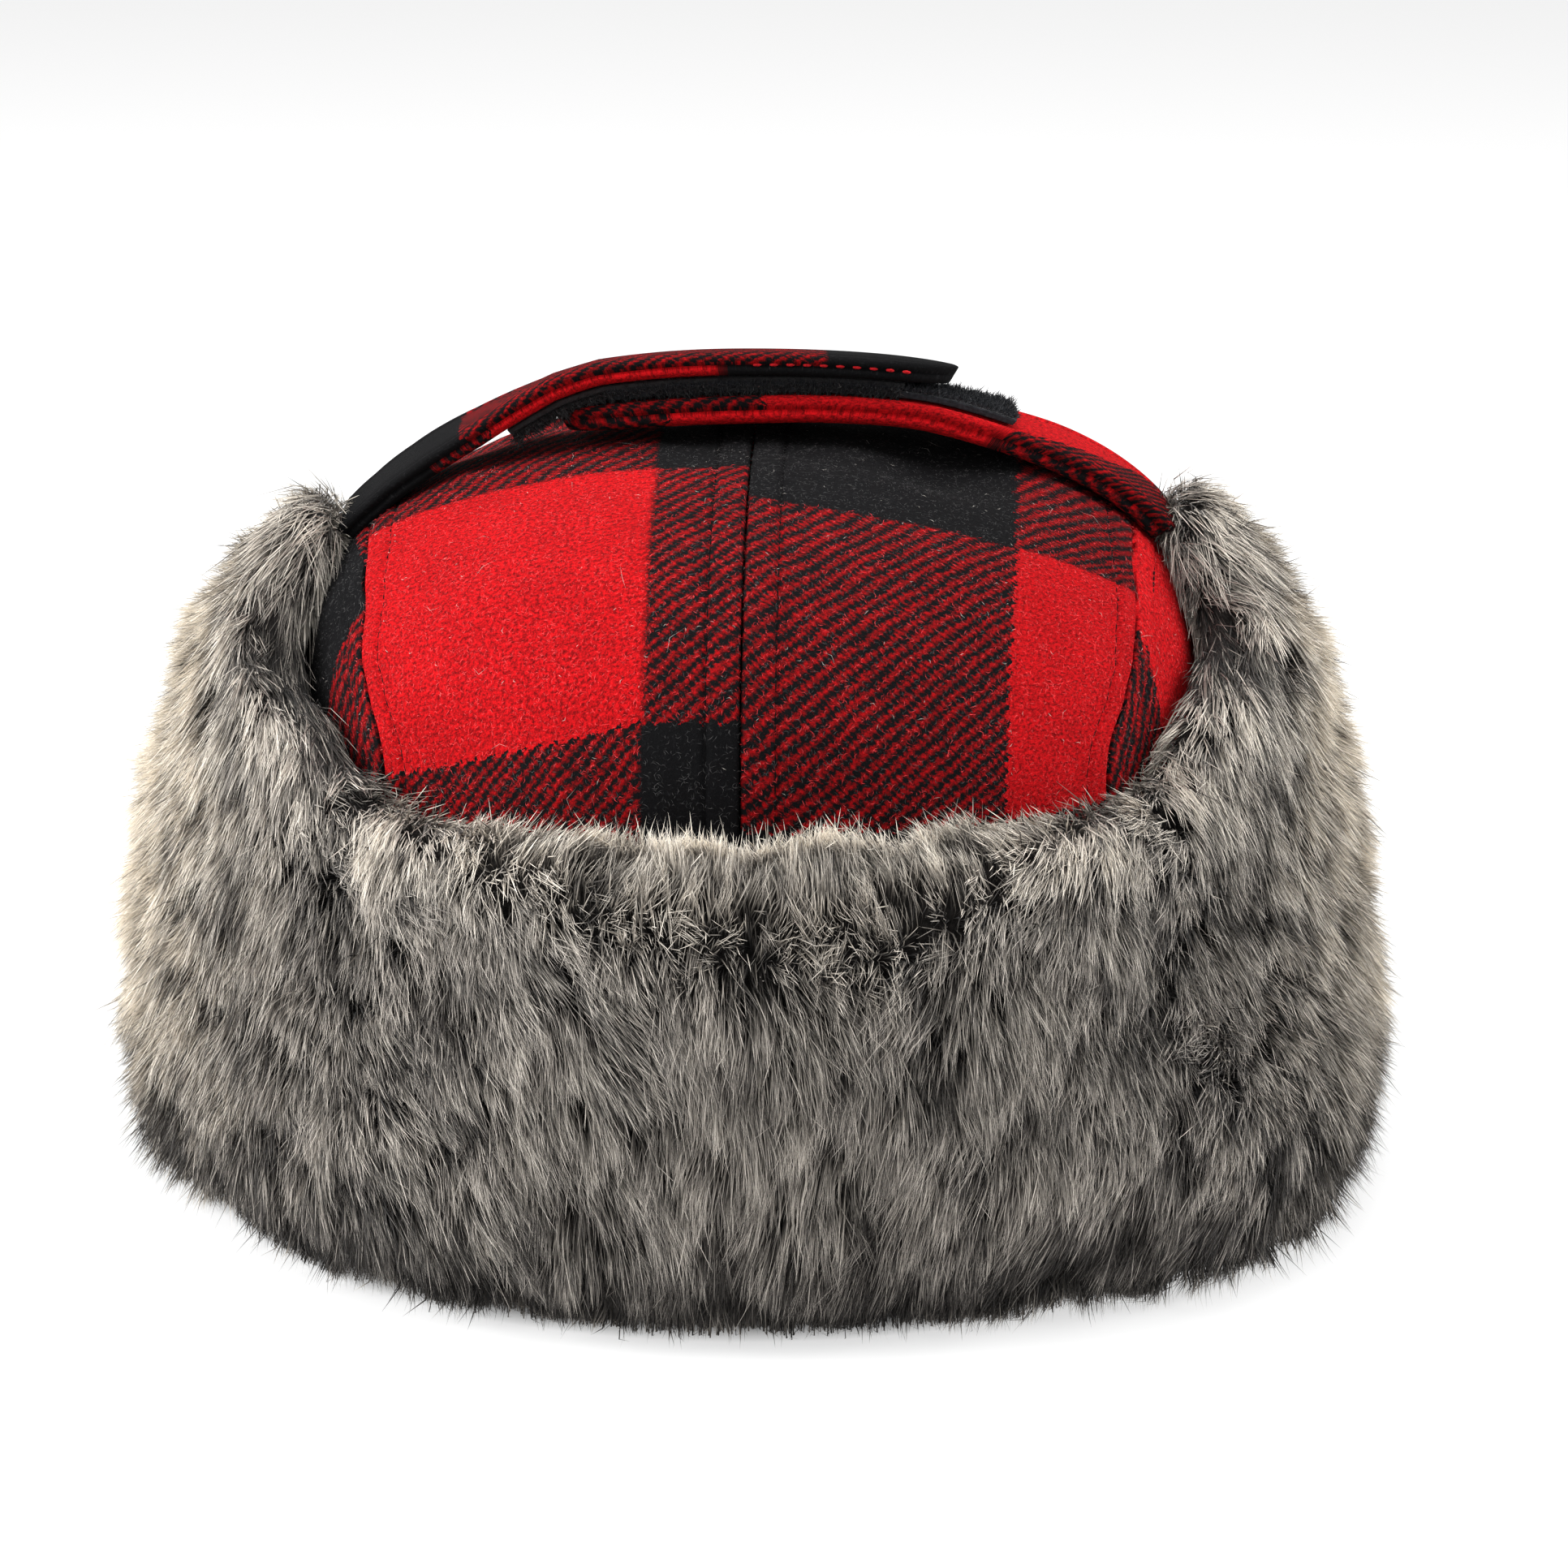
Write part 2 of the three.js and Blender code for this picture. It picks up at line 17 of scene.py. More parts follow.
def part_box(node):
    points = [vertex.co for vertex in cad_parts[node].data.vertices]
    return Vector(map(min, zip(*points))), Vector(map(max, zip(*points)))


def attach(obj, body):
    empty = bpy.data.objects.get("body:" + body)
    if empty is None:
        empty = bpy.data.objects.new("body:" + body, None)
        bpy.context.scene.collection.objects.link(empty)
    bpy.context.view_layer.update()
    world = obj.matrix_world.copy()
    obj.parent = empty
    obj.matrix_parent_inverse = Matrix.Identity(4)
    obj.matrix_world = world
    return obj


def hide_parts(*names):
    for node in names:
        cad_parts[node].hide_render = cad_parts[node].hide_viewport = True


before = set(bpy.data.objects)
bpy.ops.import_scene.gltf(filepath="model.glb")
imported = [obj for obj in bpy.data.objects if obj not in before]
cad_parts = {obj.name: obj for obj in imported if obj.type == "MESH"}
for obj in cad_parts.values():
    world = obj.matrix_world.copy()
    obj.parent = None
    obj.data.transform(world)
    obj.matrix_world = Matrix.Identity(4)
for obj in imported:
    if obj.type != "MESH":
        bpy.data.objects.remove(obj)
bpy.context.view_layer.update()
MM = 0.001
print("nodes", sorted(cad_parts))

# %% [markdown]
# ## Where everything is
# The solids' own sizes are repeated here under the names that they have in the part's source, because
# every piece below follows the same oval. The middle of that oval is measured from the crown's boxes,
# so the pieces stay on the solids.

# %% Sizes of the crown
HALF_WIDTH = 87.0
HALF_DEPTH = 104.0
CROWN_TOP = 139.5
CROWN_SHOULDER = 85.0
CROWN_RIM = 5.3
CROWN_WALL = 3.0
CROWN_TWIST = -1.3
ROUNDNESS = 2.75
DENT = {"right": 0.44, "back": -0.12, "spread": 0.15, "depth": 4.5}
SIDE_SEAM = {"reach": [0, 0.6, 0.89, 0.96, 1], "right": [0.845, 0.84, 0.828, 0.803, 0.765]}
CROWN_NODES = ["crown_top_right", "crown_top_left", "crown_side_right", "crown_side_left"]

crown_low = np.min([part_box(name)[0] for name in CROWN_NODES], axis=0) / MM
crown_high = np.max([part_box(name)[1] for name in CROWN_NODES], axis=0) / MM
middle = (crown_low + crown_high)[:2] / 2
print("crown middle", middle.round(2), "top", crown_high[2].round(1))

# %% Sizes of the fur and the straps
BAND_HEIGHT = 87.0
FLAP_HEIGHT = 126.0
FLAP_START = 48.0
FLAP_FULL = 87.0
FLAP_SEAM = 47.0
BAND_TWIST = 2.0
FUR_DEPTH = 38.0
CLEARANCE = 0.8
STRAP_WIDTH = 27.0
STRAP_SHIFT = 7.0
STRAP_BOW = 1.5
STRAP_TILT = 4.0
TAPE_WIDTH = 20.0
TAPE_THICKNESS = 1.3
LAYER_GAP = 0.3
CHECK_WIDTH = 78.0
CHECK_HEIGHT = 84.0

# %% [markdown]
# ## Small helpers
# A smooth step and a smooth wandering value are used all over. The wandering value adds a few waves
# that run in directions drawn from a fixed seed, so it is the same in each run.

# %% Smooth values
def smooth_step(low, high, value):
    share = np.clip((value - low) / (high - low), 0, 1)
    return share * share * (3 - 2 * share)


def mix(first, second, share):
    return first + (second - first) * share


def drift(points, size, seed):
    draw = np.random.default_rng(seed)
    total = np.zeros(points.shape[:-1])
    for _ in range(7):
        direction = draw.normal(size=3)
        direction /= np.linalg.norm(direction)
        turns = draw.uniform(0.6, 1.5) / size
        total += np.sin(2 * math.pi * (points @ direction * turns + draw.uniform()))
    return total / 2.8


def unit(vectors):
    length = np.linalg.norm(vectors, axis=-1, keepdims=True)
    return vectors / np.maximum(length, 1e-9)


# %% Points on the cap's oval
def plan_point(turn, offset, share, height):
    angle = np.radians(turn)
    right = middle[0] + (HALF_WIDTH + offset) * share * np.sin(angle)
    back = middle[1] - (HALF_DEPTH + offset) * share * np.cos(angle)
    return np.stack(np.broadcast_arrays(right, back, height), axis=-1)


def crown_point(turn, climb, relief=0.0):
    dome = np.clip(climb - 1, 0, 1) * math.pi / 2
    share = np.maximum(np.cos(dome), 0) ** (2 / ROUNDNESS)
    rise = np.sin(dome) ** (2 / ROUNDNESS)
    right = share * np.sin(np.radians(turn)) - DENT["right"]
    back = -share * np.cos(np.radians(turn)) - DENT["back"]
    dent = DENT["depth"] * np.exp(-(right**2 + back**2) / DENT["spread"] ** 2)
    depth = np.where(climb > 1, dent, 0) - relief
    shoulder = CROWN_RIM + (CROWN_SHOULDER - CROWN_RIM) * np.minimum(climb, 1)
    height = shoulder + rise * (CROWN_TOP - CROWN_SHOULDER - depth)
    return plan_point(turn + CROWN_TWIST, -depth * np.minimum(1, 3 * share), share, height)


def dome_place(right, reach):
    front = reach * np.sqrt(1 - right * right)
    share = np.minimum(np.hypot(right, front), 1)
    dome = np.arccos(share ** (ROUNDNESS / 2))
    return np.degrees(np.arctan2(right, front)), 1 + dome / (math.pi / 2)


def side_seam(reach):
    return np.interp(abs(reach), SIDE_SEAM["reach"], SIDE_SEAM["right"])


def arc_lengths(points):
    steps = np.linalg.norm(np.diff(points, axis=0), axis=-1)
    return np.concatenate([[0], np.cumsum(steps)])


# %% [markdown]
# ## Meshes
# A sheet of cloth starts as a grid whose vertices are then moved to their places, which keeps the
# faces regular and gives each vertex a place in the weave for its UV map. Single strands, hairs and
# hooks number many thousands, so they are written as one joined mesh from arrays: each is a thin
# kite of two triangles, bent at its widest place and pointed at both ends.

# %% Mesh helpers
def finish_piece(piece, finish, slot_name, *nodes):
    piece.data.materials.append(finish)
    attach(piece, "root")
    if nodes:
        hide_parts(*nodes)
    print(piece.name, len(piece.data.polygons), "faces")
    return piece


def new_piece(name, bm, smooth=True):
    mesh = bpy.data.meshes.new(name)
    bm.to_mesh(mesh)
    bm.free()
    if smooth:
        mesh.shade_smooth()
    piece = bpy.data.objects.new(name, mesh)
    bpy.context.scene.collection.objects.link(piece)
    return piece


def cloth_grid(bm, places, weave, inside):
    rows, columns = places.shape[:2]
    before = set(bm.verts)
    bmesh.ops.create_grid(bm, x_segments=columns - 1, y_segments=rows - 1, size=1)
    pattern = bm.loops.layers.uv.new("UVMap")
    spot = {}
    for vertex in [v for v in bm.verts if v not in before]:
        column = round((vertex.co.x + 1) / 2 * (columns - 1))
        row = round((vertex.co.y + 1) / 2 * (rows - 1))
        spot[vertex] = (row, column)
        vertex.co = Vector(places[row, column]) * MM
    faces = [face for face in bm.faces if face.verts[0] in spot]
    bm.normal_update()
    outward = sum(face.normal.dot(face.calc_center_median() - inside) for face in faces)
    for face in faces:
        for loop in face.loops:
            loop[pattern].uv = weave[spot[loop.vert]]
    if outward < 0:
        bmesh.ops.reverse_faces(bm, faces=faces)
    return faces


def add_wall(piece, thickness):
    wall = piece.modifiers.new("wall", "SOLIDIFY")
    wall.thickness = thickness * MM
    wall.offset = -1


def ribbon_piece(name, lines, widths, facing, marks):
    """lines is (count, 3, 3): root, middle and tip. widths are at the middle, marks (count, 2)."""
    count = len(lines)
    side = unit(np.cross(lines[:, 2] - lines[:, 0], facing)) * widths[:, None] / 2
    points = np.stack([lines[:, 0], lines[:, 1] - side, lines[:, 1] + side, lines[:, 2]], axis=1)
    corners = np.array([0, 2, 1, 1, 2, 3])
    index = (np.arange(count)[:, None] * 4 + corners).ravel()
    mesh = bpy.data.meshes.new(name)
    mesh.vertices.add(count * 4)
    mesh.vertices.foreach_set("co", (points * MM).astype(np.float32).ravel())
    mesh.loops.add(count * 6)
    mesh.loops.foreach_set("vertex_index", index.astype(np.int32))
    mesh.polygons.add(count * 2)
    mesh.polygons.foreach_set("loop_start", np.arange(0, count * 6, 3, dtype=np.int32))
    mesh.update(calc_edges=True)
    coordinates = np.empty((count, 6, 2))
    coordinates[:, :, 0] = marks[:, :1]
    coordinates[:, :, 1] = np.array([0, 0.45, 0.45, 1])[corners]
    layer = mesh.uv_layers.new(name="Strand")
    layer.data.foreach_set("uv", coordinates.astype(np.float32).ravel())
    pale = mesh.attributes.new("pale", "FLOAT", "POINT")
    pale.data.foreach_set("value", np.repeat(marks[:, 1], 4).astype(np.float32))
    piece = bpy.data.objects.new(name, mesh)
    bpy.context.scene.collection.objects.link(piece)
    return piece


# %% [markdown]
# ## Materials
# Every finish is built from nodes. A few short helpers make the node code read like arithmetic. The
# numbers that are the same all over a surface are set on the shader itself.

# %% Node helpers
def new_material(name, roughness, sheen=0.0):
    material = bpy.data.materials.new(name)
    material.use_nodes = True
    tree = material.node_tree
    shader = tree.nodes["Principled BSDF"]
    shader.inputs["Roughness"].default_value = roughness
    shader.inputs["Specular IOR Level"].default_value = 0.25
    shader.inputs["Sheen Weight"].default_value = sheen
    shader.inputs["Sheen Roughness"].default_value = 0.45
    return material, tree, shader


def connect(tree, value, socket):
    if isinstance(value, bpy.types.NodeSocket):
        tree.links.new(value, socket)
    else:
        socket.default_value = value


def calc(tree, operation, *values):
    node = tree.nodes.new("ShaderNodeMath")
    node.operation = operation
    for value, socket in zip(values, node.inputs):
        connect(tree, value, socket)
    return node.outputs[0]


def blend_colors(tree, share, first, second, mode="MIX"):
    node = tree.nodes.new("ShaderNodeMix")
    node.data_type = "RGBA"
    node.blend_type = mode
    connect(tree, share, node.inputs["Factor"])
    connect(tree, first, node.inputs[6])
    connect(tree, second, node.inputs[7])
    return node.outputs[2]


def noise(tree, vector, scale, detail=2.0, rough=0.5):
    node = tree.nodes.new("ShaderNodeTexNoise")
    node.inputs["Scale"].default_value = scale
    node.inputs["Detail"].default_value = detail
    node.inputs["Roughness"].default_value = rough
    tree.links.new(vector, node.inputs["Vector"])
    return node.outputs["Fac"]


def ramp(tree, value, stops):
    node = tree.nodes.new("ShaderNodeValToRGB")
    elements = node.color_ramp.elements
    while len(elements) < len(stops):
        elements.new(0.5)
    for element, (place, color) in zip(elements, stops):
        element.position = place
        element.color = color
    tree.links.new(value, node.inputs["Fac"])
    return node.outputs["Color"]


def bump(tree, shader, height, distance, strength=1.0):
    node = tree.nodes.new("ShaderNodeBump")
    node.inputs["Distance"].default_value = distance
    node.inputs["Strength"].default_value = strength
    tree.links.new(height, node.inputs["Height"])
    tree.links.new(node.outputs["Normal"], shader.inputs["Normal"])


def grainy_material(name, roughness, grain, stops, rise, strength, sheen=0.0):
    """grain is the noise's scale, detail and roughness. stops are places and colours."""
    material, tree, shader = new_material(name, roughness, sheen)
    place = tree.nodes.new("ShaderNodeTexCoord")
    speck = noise(tree, place.outputs["Object"], *grain)
    tone = ramp(tree, speck, [(spot, (*color, 1)) for spot, color in stops])
    tree.links.new(tone, shader.inputs["Base Color"])
    bump(tree, shader, speck, rise, strength)
    return material, shader


# %% [markdown]
# ### Checked wool
# A two-colour check is woven: stripes of red and black threads run one way, and the same stripes run
# the other way. Where red crosses red the cloth is red, where black crosses black it is black, and
# where they differ the twill weave shows as slanting lines of both. The node group below does the
# same. It reads the weave's place in millimetres from the UV map, finds the stripe of each direction,
# and lets the twill line decide where the two disagree. Noise frays the lines and edges, because the
# cloth is brushed.

# %% The weave as a node group
TWILL_PERIOD = 2.55
TWILL_ACROSS = 0.66
TWILL_UP = 0.72
TWILL_EASE = 380.0


def weave_group():
    tree = bpy.data.node_groups.new("Checked weave", "ShaderNodeTree")
    tree.interface.new_socket(name="Place", in_out="INPUT", socket_type="NodeSocketVector")
    for name in ["Red", "Line", "Fibre", "Cloud"]:
        tree.interface.new_socket(name=name, in_out="OUTPUT", socket_type="NodeSocketFloat")
    start = tree.nodes.new("NodeGroupInput")
    end = tree.nodes.new("NodeGroupOutput")
    place = start.outputs["Place"]
    split = tree.nodes.new("ShaderNodeSeparateXYZ")
    tree.links.new(place, split.inputs[0])
    across, up = split.outputs[0], split.outputs[1]
    wide = calc(tree, "SUBTRACT", noise(tree, place, 0.14, 2), 0.5)
    fine = calc(tree, "SUBTRACT", noise(tree, place, 1.1, 3, 0.7), 0.5)
    pepper = calc(tree, "SUBTRACT", noise(tree, place, 2.6, 3, 0.8), 0.5)
    slant = calc(tree, "MULTIPLY", across, TWILL_ACROSS)
    eased = calc(tree, "MULTIPLY", up, calc(tree, "MULTIPLY_ADD", up, -1 / TWILL_EASE, 1.0))
    slant = calc(tree, "SUBTRACT", slant, calc(tree, "MULTIPLY", eased, TWILL_UP))
    wander = calc(tree, "MULTIPLY_ADD", wide, 2.4, slant)
    wander = calc(tree, "MULTIPLY_ADD", fine, 0.9, wander)
    wave = calc(tree, "SINE", calc(tree, "MULTIPLY", wander, 2 * math.pi / TWILL_PERIOD))
    beads = calc(tree, "MULTIPLY_ADD", wide, 5.0, calc(tree, "ADD", across, up))
    beads = calc(tree, "SINE", calc(tree, "MULTIPLY", beads, 2 * math.pi / 1.9))
    wave = calc(tree, "MULTIPLY_ADD", beads, 0.55, wave)
    wave = calc(tree, "MULTIPLY_ADD", wide, 1.8, wave)
    wave = calc(tree, "MULTIPLY_ADD", fine, 4.2, wave)
    wave = calc(tree, "MULTIPLY_ADD", pepper, 4.0, wave)
    line = calc(tree, "MULTIPLY_ADD", wave, 0.48, 0.25)
    line = calc(tree, "MINIMUM", calc(tree, "MAXIMUM", line, 0.0), 1.0)
    step = calc(tree, "MULTIPLY", wave, 0.5)

    def stripe(value, size):
        edge = calc(tree, "ADD", calc(tree, "MULTIPLY_ADD", fine, 1.3, value), step)
        cycle = calc(tree, "FRACT", calc(tree, "DIVIDE", edge, 2 * size))
        return calc(tree, "LESS_THAN", cycle, 0.5)

    warp = stripe(across, CHECK_WIDTH)
    weft = stripe(up, CHECK_HEIGHT)
    both = calc(tree, "MULTIPLY", warp, weft)
    either = calc(tree, "MAXIMUM", warp, weft)
    mixed = calc(tree, "SUBTRACT", either, both)
    red = calc(tree, "MULTIPLY_ADD", mixed, line, both)
    tree.links.new(red, end.inputs["Red"])
    tree.links.new(calc(tree, "MULTIPLY", mixed, line), end.inputs["Line"])
    tree.links.new(noise(tree, place, 1.1, 4, 0.85), end.inputs["Fibre"])
    tree.links.new(noise(tree, place, 0.07, 2), end.inputs["Cloud"])
    return tree


checked_weave = weave_group()


def weave_outputs(tree):
    place = tree.nodes.new("ShaderNodeUVMap")
    place.uv_map = "UVMap"
    group = tree.nodes.new("ShaderNodeGroup")
    group.node_tree = checked_weave
    tree.links.new(place.outputs["UV"], group.inputs["Place"])
    return group.outputs


# %% Wool finish
WOOL_RED = (0.68, 0.006, 0.0095, 1)
WOOL_DEEP_RED = (0.16, 0.002, 0.003, 1)
WOOL_BLACK = (0.0045, 0.0045, 0.005, 1)
WOOL_GREY = (0.035, 0.035, 0.037, 1)


def wool_material(name):
    material, tree, shader = new_material(name, 1.0)
    shader.inputs["Specular IOR Level"].default_value = 0.08
    weave = weave_outputs(tree)
    speck = ramp(tree, weave["Fibre"], [(0.40, (0, 0, 0, 1)), (0.58, (1, 1, 1, 1))])
    red = blend_colors(tree, speck, WOOL_DEEP_RED, WOOL_RED)
    dull = calc(tree, "MULTIPLY", calc(tree, "GREATER_THAN", weave["Line"], 0.001), 0.45)
    red = blend_colors(tree, dull, red, WOOL_DEEP_RED)
    glint = ramp(tree, weave["Fibre"], [(0.56, (0, 0, 0, 1)), (0.8, (1, 1, 1, 1))])
    black = blend_colors(tree, glint, WOOL_BLACK, WOOL_GREY)
    color = blend_colors(tree, weave["Red"], black, red)
    shade = ramp(tree, weave["Cloud"], [(0.3, (0.82, 0.82, 0.82, 1)), (0.7, (1, 1, 1, 1))])
    color = blend_colors(tree, 1.0, color, shade, "MULTIPLY")
    tree.links.new(color, shader.inputs["Base Color"])
    nap = calc(tree, "MULTIPLY_ADD", weave["Line"], 0.3, weave["Fibre"])
    bump(tree, shader, nap, 0.0007, 1.0)
    return material


crown_wool = wool_material("Brushed checked wool")
strap_wool = wool_material("Strap wool")
print("wool materials", crown_wool.name, strap_wool.name)

# %% [markdown]
# ## The crown's panels
# Two long panels meet in a seam from front to back over the top, and an oval panel closes each side.
# Each panel is a grid laid on the crown's form, with its columns crowded near the seams so that the
# valley of the seam, the raised allowance and the sunken stitch line are real shapes. A Solidify
# modifier gives the cloth its thickness.

# %% Relief of the cloth
STITCH_LINE = 6.3
SEAM_VALLEY = 0.9
ALLOWANCE_RISE = 0.45
STITCH_DIP = 0.6


def seam_relief(distance, along, seed):
    valley = -SEAM_VALLEY * np.exp(-((distance / 0.45) ** 2))
    allowance = ALLOWANCE_RISE * (1 - smooth_step(STITCH_LINE, STITCH_LINE + 2.2, distance))
    dip = -STITCH_DIP * np.exp(-(((distance - STITCH_LINE) / 0.55) ** 2))
    pucker = 0.14 * np.sin(along / 1.15 + 3 * np.sin(along / 17 + seed))
    pucker = pucker * np.exp(-(((distance - STITCH_LINE) / 3) ** 2))
    return valley + allowance + dip + pucker


def cloth_waves(points):
    return 0.55 * drift(points, 70, 5) + 0.22 * drift(points, 24, 6)


SEAM_COLUMNS = np.array([0.12, 0.5, 0.9, 1.5, 2.4, 3.6, 4.7, 5.4, 5.9, 6.3, 6.7, 7.2, 8.0, 9.5])


def panel_columns(width, count):
    near = SEAM_COLUMNS * min(1, width / 40)
    inner = np.linspace(near[-1], width - near[-1], count)[1:-1]
    return np.concatenate([near, inner, width - near[::-1]])


# %% Rows along the middle seam
ROW_STEP = 3.0
fine_dome = np.cos(np.linspace(0, math.pi / 2, 600)) ** (2 / ROUNDNESS)
fine_arc = arc_lengths(crown_point(*dome_place(0.0, fine_dome)))
HALF_SEAM = fine_arc[-1]
row_count = round(HALF_SEAM / ROW_STEP)
dome_reaches = np.interp(np.linspace(0, HALF_SEAM, row_count + 1), fine_arc, fine_dome)
all_reaches = np.concatenate([dome_reaches, -dome_reaches[-2::-1]])
wall_climbs = np.linspace(0, 1, 9)[:-1]
print("middle seam from shoulder to apex", round(float(HALF_SEAM), 1), "mm")

def left_weave(side, down):
    stretch = 0.3 * np.clip(1 - down / 150, 0, 1) * np.maximum(side - 15, 0)
    return CHECK_WIDTH - (side - 17.8), down + stretch - 24.8


def right_weave(side, down):
    askew = 0.04 + 0.26 * np.clip(down / 80, 0, 1)
    return side - 52, down + askew * side - 5.2


# %% Top panels
def top_panel(side, fit):
    rows = [(1.0, climb) for climb in wall_climbs]
    rows += [(reach, None) for reach in all_reaches]
    rows += [(-1.0, climb) for climb in wall_climbs[::-1]]
    places, weave, marks, spine, down = [], [], [], None, 0.0
    for reach, climb in rows:
        fine_right = np.linspace(0, side_seam(reach), 160)
        turn, rise = dome_place(fine_right, reach)
        rise = rise if climb is None else np.full_like(rise, climb)
        arc = arc_lengths(crown_point(turn, rise))
        columns = panel_columns(arc[-1], 30)
        turn = np.interp(columns, arc, turn)
        rise = np.interp(columns, arc, rise)
        flat = crown_point(side * turn, rise)
        here = crown_point(0.0, rise[0]) if reach >= 0 else crown_point(180.0, rise[0])
        down += 0 if spine is None else float(np.linalg.norm(here - spine))
        spine = here
        relief = seam_relief(columns, down, 1) + seam_relief(arc[-1] - columns, down, 2)
        relief = relief + cloth_waves(flat)
        relief = relief * smooth_step(0.2, 1.0, np.minimum(rise, 1))
        places.append(crown_point(side * turn, rise, relief))
        weave.append(columns)
        marks.append(down)
    shoulder = marks[len(wall_climbs)]
    places = np.array(places)
    for row, mark in enumerate(marks):
        weave[row] = np.stack(np.broadcast_arrays(*fit(weave[row], mark - shoulder)), axis=-1)
    return places, np.array(weave)


inside = Vector((middle[0] * MM, middle[1] * MM, 0.06))
crown_sheets = {}


def wool_panel(name, places, weave):
    crown_sheets[name] = (places, weave)
    bm = bmesh.new()
    cloth_grid(bm, places, weave, inside)
    panel = new_piece("wool_" + name, bm)
    add_wall(panel, CROWN_WALL)
    finish_piece(panel, crown_wool, "crown_wool", "crown_" + name)


for name, side, fit in [("top_left", -1, left_weave), ("top_right", 1, right_weave)]:
    wool_panel(name, *top_panel(side, fit))

# %% [markdown]
# ### Side panels
# A side panel narrows upwards into an arch. Its rows run level from its front seam to its back seam,
# and the distance to the arch is measured to the nearest point of the seam, so the raised allowance
# and the stitch line follow the arch over the top.

# %% Side panels
SIDE_FITS = {"side_left": (-42.0, 129.0), "side_right": (46.5, 42.0)}


def seam_curve(side):
    turn, climb = dome_place(side_seam(all_reaches), all_reaches)
    return crown_point(side * turn, climb)


def side_panel(side, shift):
    seam = seam_curve(side)
    levels = [(1.0, climb) for climb in wall_climbs]
    levels += [(reach, None) for reach in np.cos(np.linspace(0, math.pi / 2, 46)) ** 0.9]
    places, weave, up, last = [], [], 0.0, None
    for reach, climb in levels:
        front, rise = dome_place(side_seam(reach) + 0.0014, reach)
        rise = float(rise if climb is None else climb)
        turn = np.linspace(float(front), 180 - float(front), 400)
        arc = arc_lengths(crown_point(turn, rise))
        columns = panel_columns(max(arc[-1], 0.5), 40)
        turn = side * np.interp(columns, arc, turn)
        flat = crown_point(turn, rise)
        away = np.linalg.norm(flat[:, None] - seam[None], axis=-1).min(axis=1)
        if rise < 1:
            away = np.minimum(columns, arc[-1] - columns)
        relief = seam_relief(away, columns, 4) + cloth_waves(flat)
        relief = relief * smooth_step(0.2, 1.0, min(rise, 1))
        here = crown_point(side * 90.0, rise)
        up += 0 if last is None else float(np.linalg.norm(here - last))
        last = here
        places.append(crown_point(turn, rise, relief))
        level = np.stack([side * (columns - arc[-1] / 2), np.full_like(columns, up)], axis=-1)
        weave.append(level)
    shoulder = weave[len(wall_climbs)][0, 1]
    weave = np.array(weave)
    weave[..., 0] += shift[0]
    weave[..., 1] += shift[1] - shoulder
    return np.array(places), weave


for name, side in [("side_left", -1), ("side_right", 1)]:
    wool_panel(name, *side_panel(side, SIDE_FITS[name]))

# %% [markdown]
# ## Stitches
# Dark thread runs along both sides of every seam. One stitch is a small ball drawn out into a grain,
# and copies of it follow a line of points, each sunk halfway into the cloth.

# %% Thread finish
def thread_material(name, color):
    stops = [(0.3, [part * 0.55 for part in color]), (0.7, color)]
    material, shader = grainy_material(name, 0.9, (2500, 2), stops, 0.0002, 0.6)
    shader.inputs["Specular IOR Level"].default_value = 0.08
    return material


dark_thread = thread_material("Dark thread", (0.004, 0.0038, 0.004))
red_thread = thread_material("Red thread", (0.5, 0.012, 0.016))


# %% Stitch helper
def stitches(name, lines, pitch, length, thickness, finish, slot_name, sink=0.12):
    bm = bmesh.new()
    total = 0
    for line, outward in lines:
        arc = arc_lengths(line)
        starts = np.arange(pitch, arc[-1] - pitch, pitch)
        total += len(starts)
        for start in starts:
            spot = [np.interp(start, arc, line[:, k]) for k in range(3)]
            ahead = [np.interp(start + length / 2, arc, line[:, k]) for k in range(3)]
            normal = [np.interp(start, arc, outward[:, k]) for k in range(3)]
            run = (Vector(ahead) - Vector(spot)).normalized()
            up = Vector(normal).normalized()
            side = run.cross(up).normalized()
            up = side.cross(run)
            sizes = Matrix.Diagonal((length / 2 * MM, thickness / 2 * MM, thickness / 2 * MM, 1))
            turned = Matrix((run, side, up)).transposed().to_4x4()
            moved = Matrix.Translation((Vector(spot) - up * sink) * MM)
            matrix = moved @ turned @ sizes
            bmesh.ops.create_icosphere(bm, subdivisions=1, radius=1, matrix=matrix)
    bmesh.ops.recalc_face_normals(bm, faces=bm.faces)
    piece = new_piece(name, bm)
    print(total, "stitches")
    return finish_piece(piece, finish, slot_name)


# %% Crown stitches
def sheet_normals(places):
    along = np.gradient(places, axis=0)
    across = np.gradient(places, axis=1)
    normal = unit(np.cross(along, across))
    outward = (normal * (places - np.array([middle[0], middle[1], 60]))).sum()
    return normal * np.sign(outward)


def line_beside_seam(sheet, column):
    places = crown_sheets[sheet][0]
    first = len(wall_climbs) - 2
    last = len(places) - first if sheet.startswith("top") else len(places)
    normals = sheet_normals(places)
    return places[first:last, column], normals[first:last, column]


def arch_line(side, distance):
    line = []
    for reach in all_reaches:
        rights = np.linspace(side_seam(reach), 0.995, 300)
        turn, climb = dome_place(rights, reach)
        points = crown_point(side * turn, climb, -0.05)
        arc = arc_lengths(points)
        line.append([np.interp(distance, arc, points[:, k]) for k in range(3)])
    line = np.array(line)
    return line, unit(line - np.array([middle[0], middle[1], 70]))


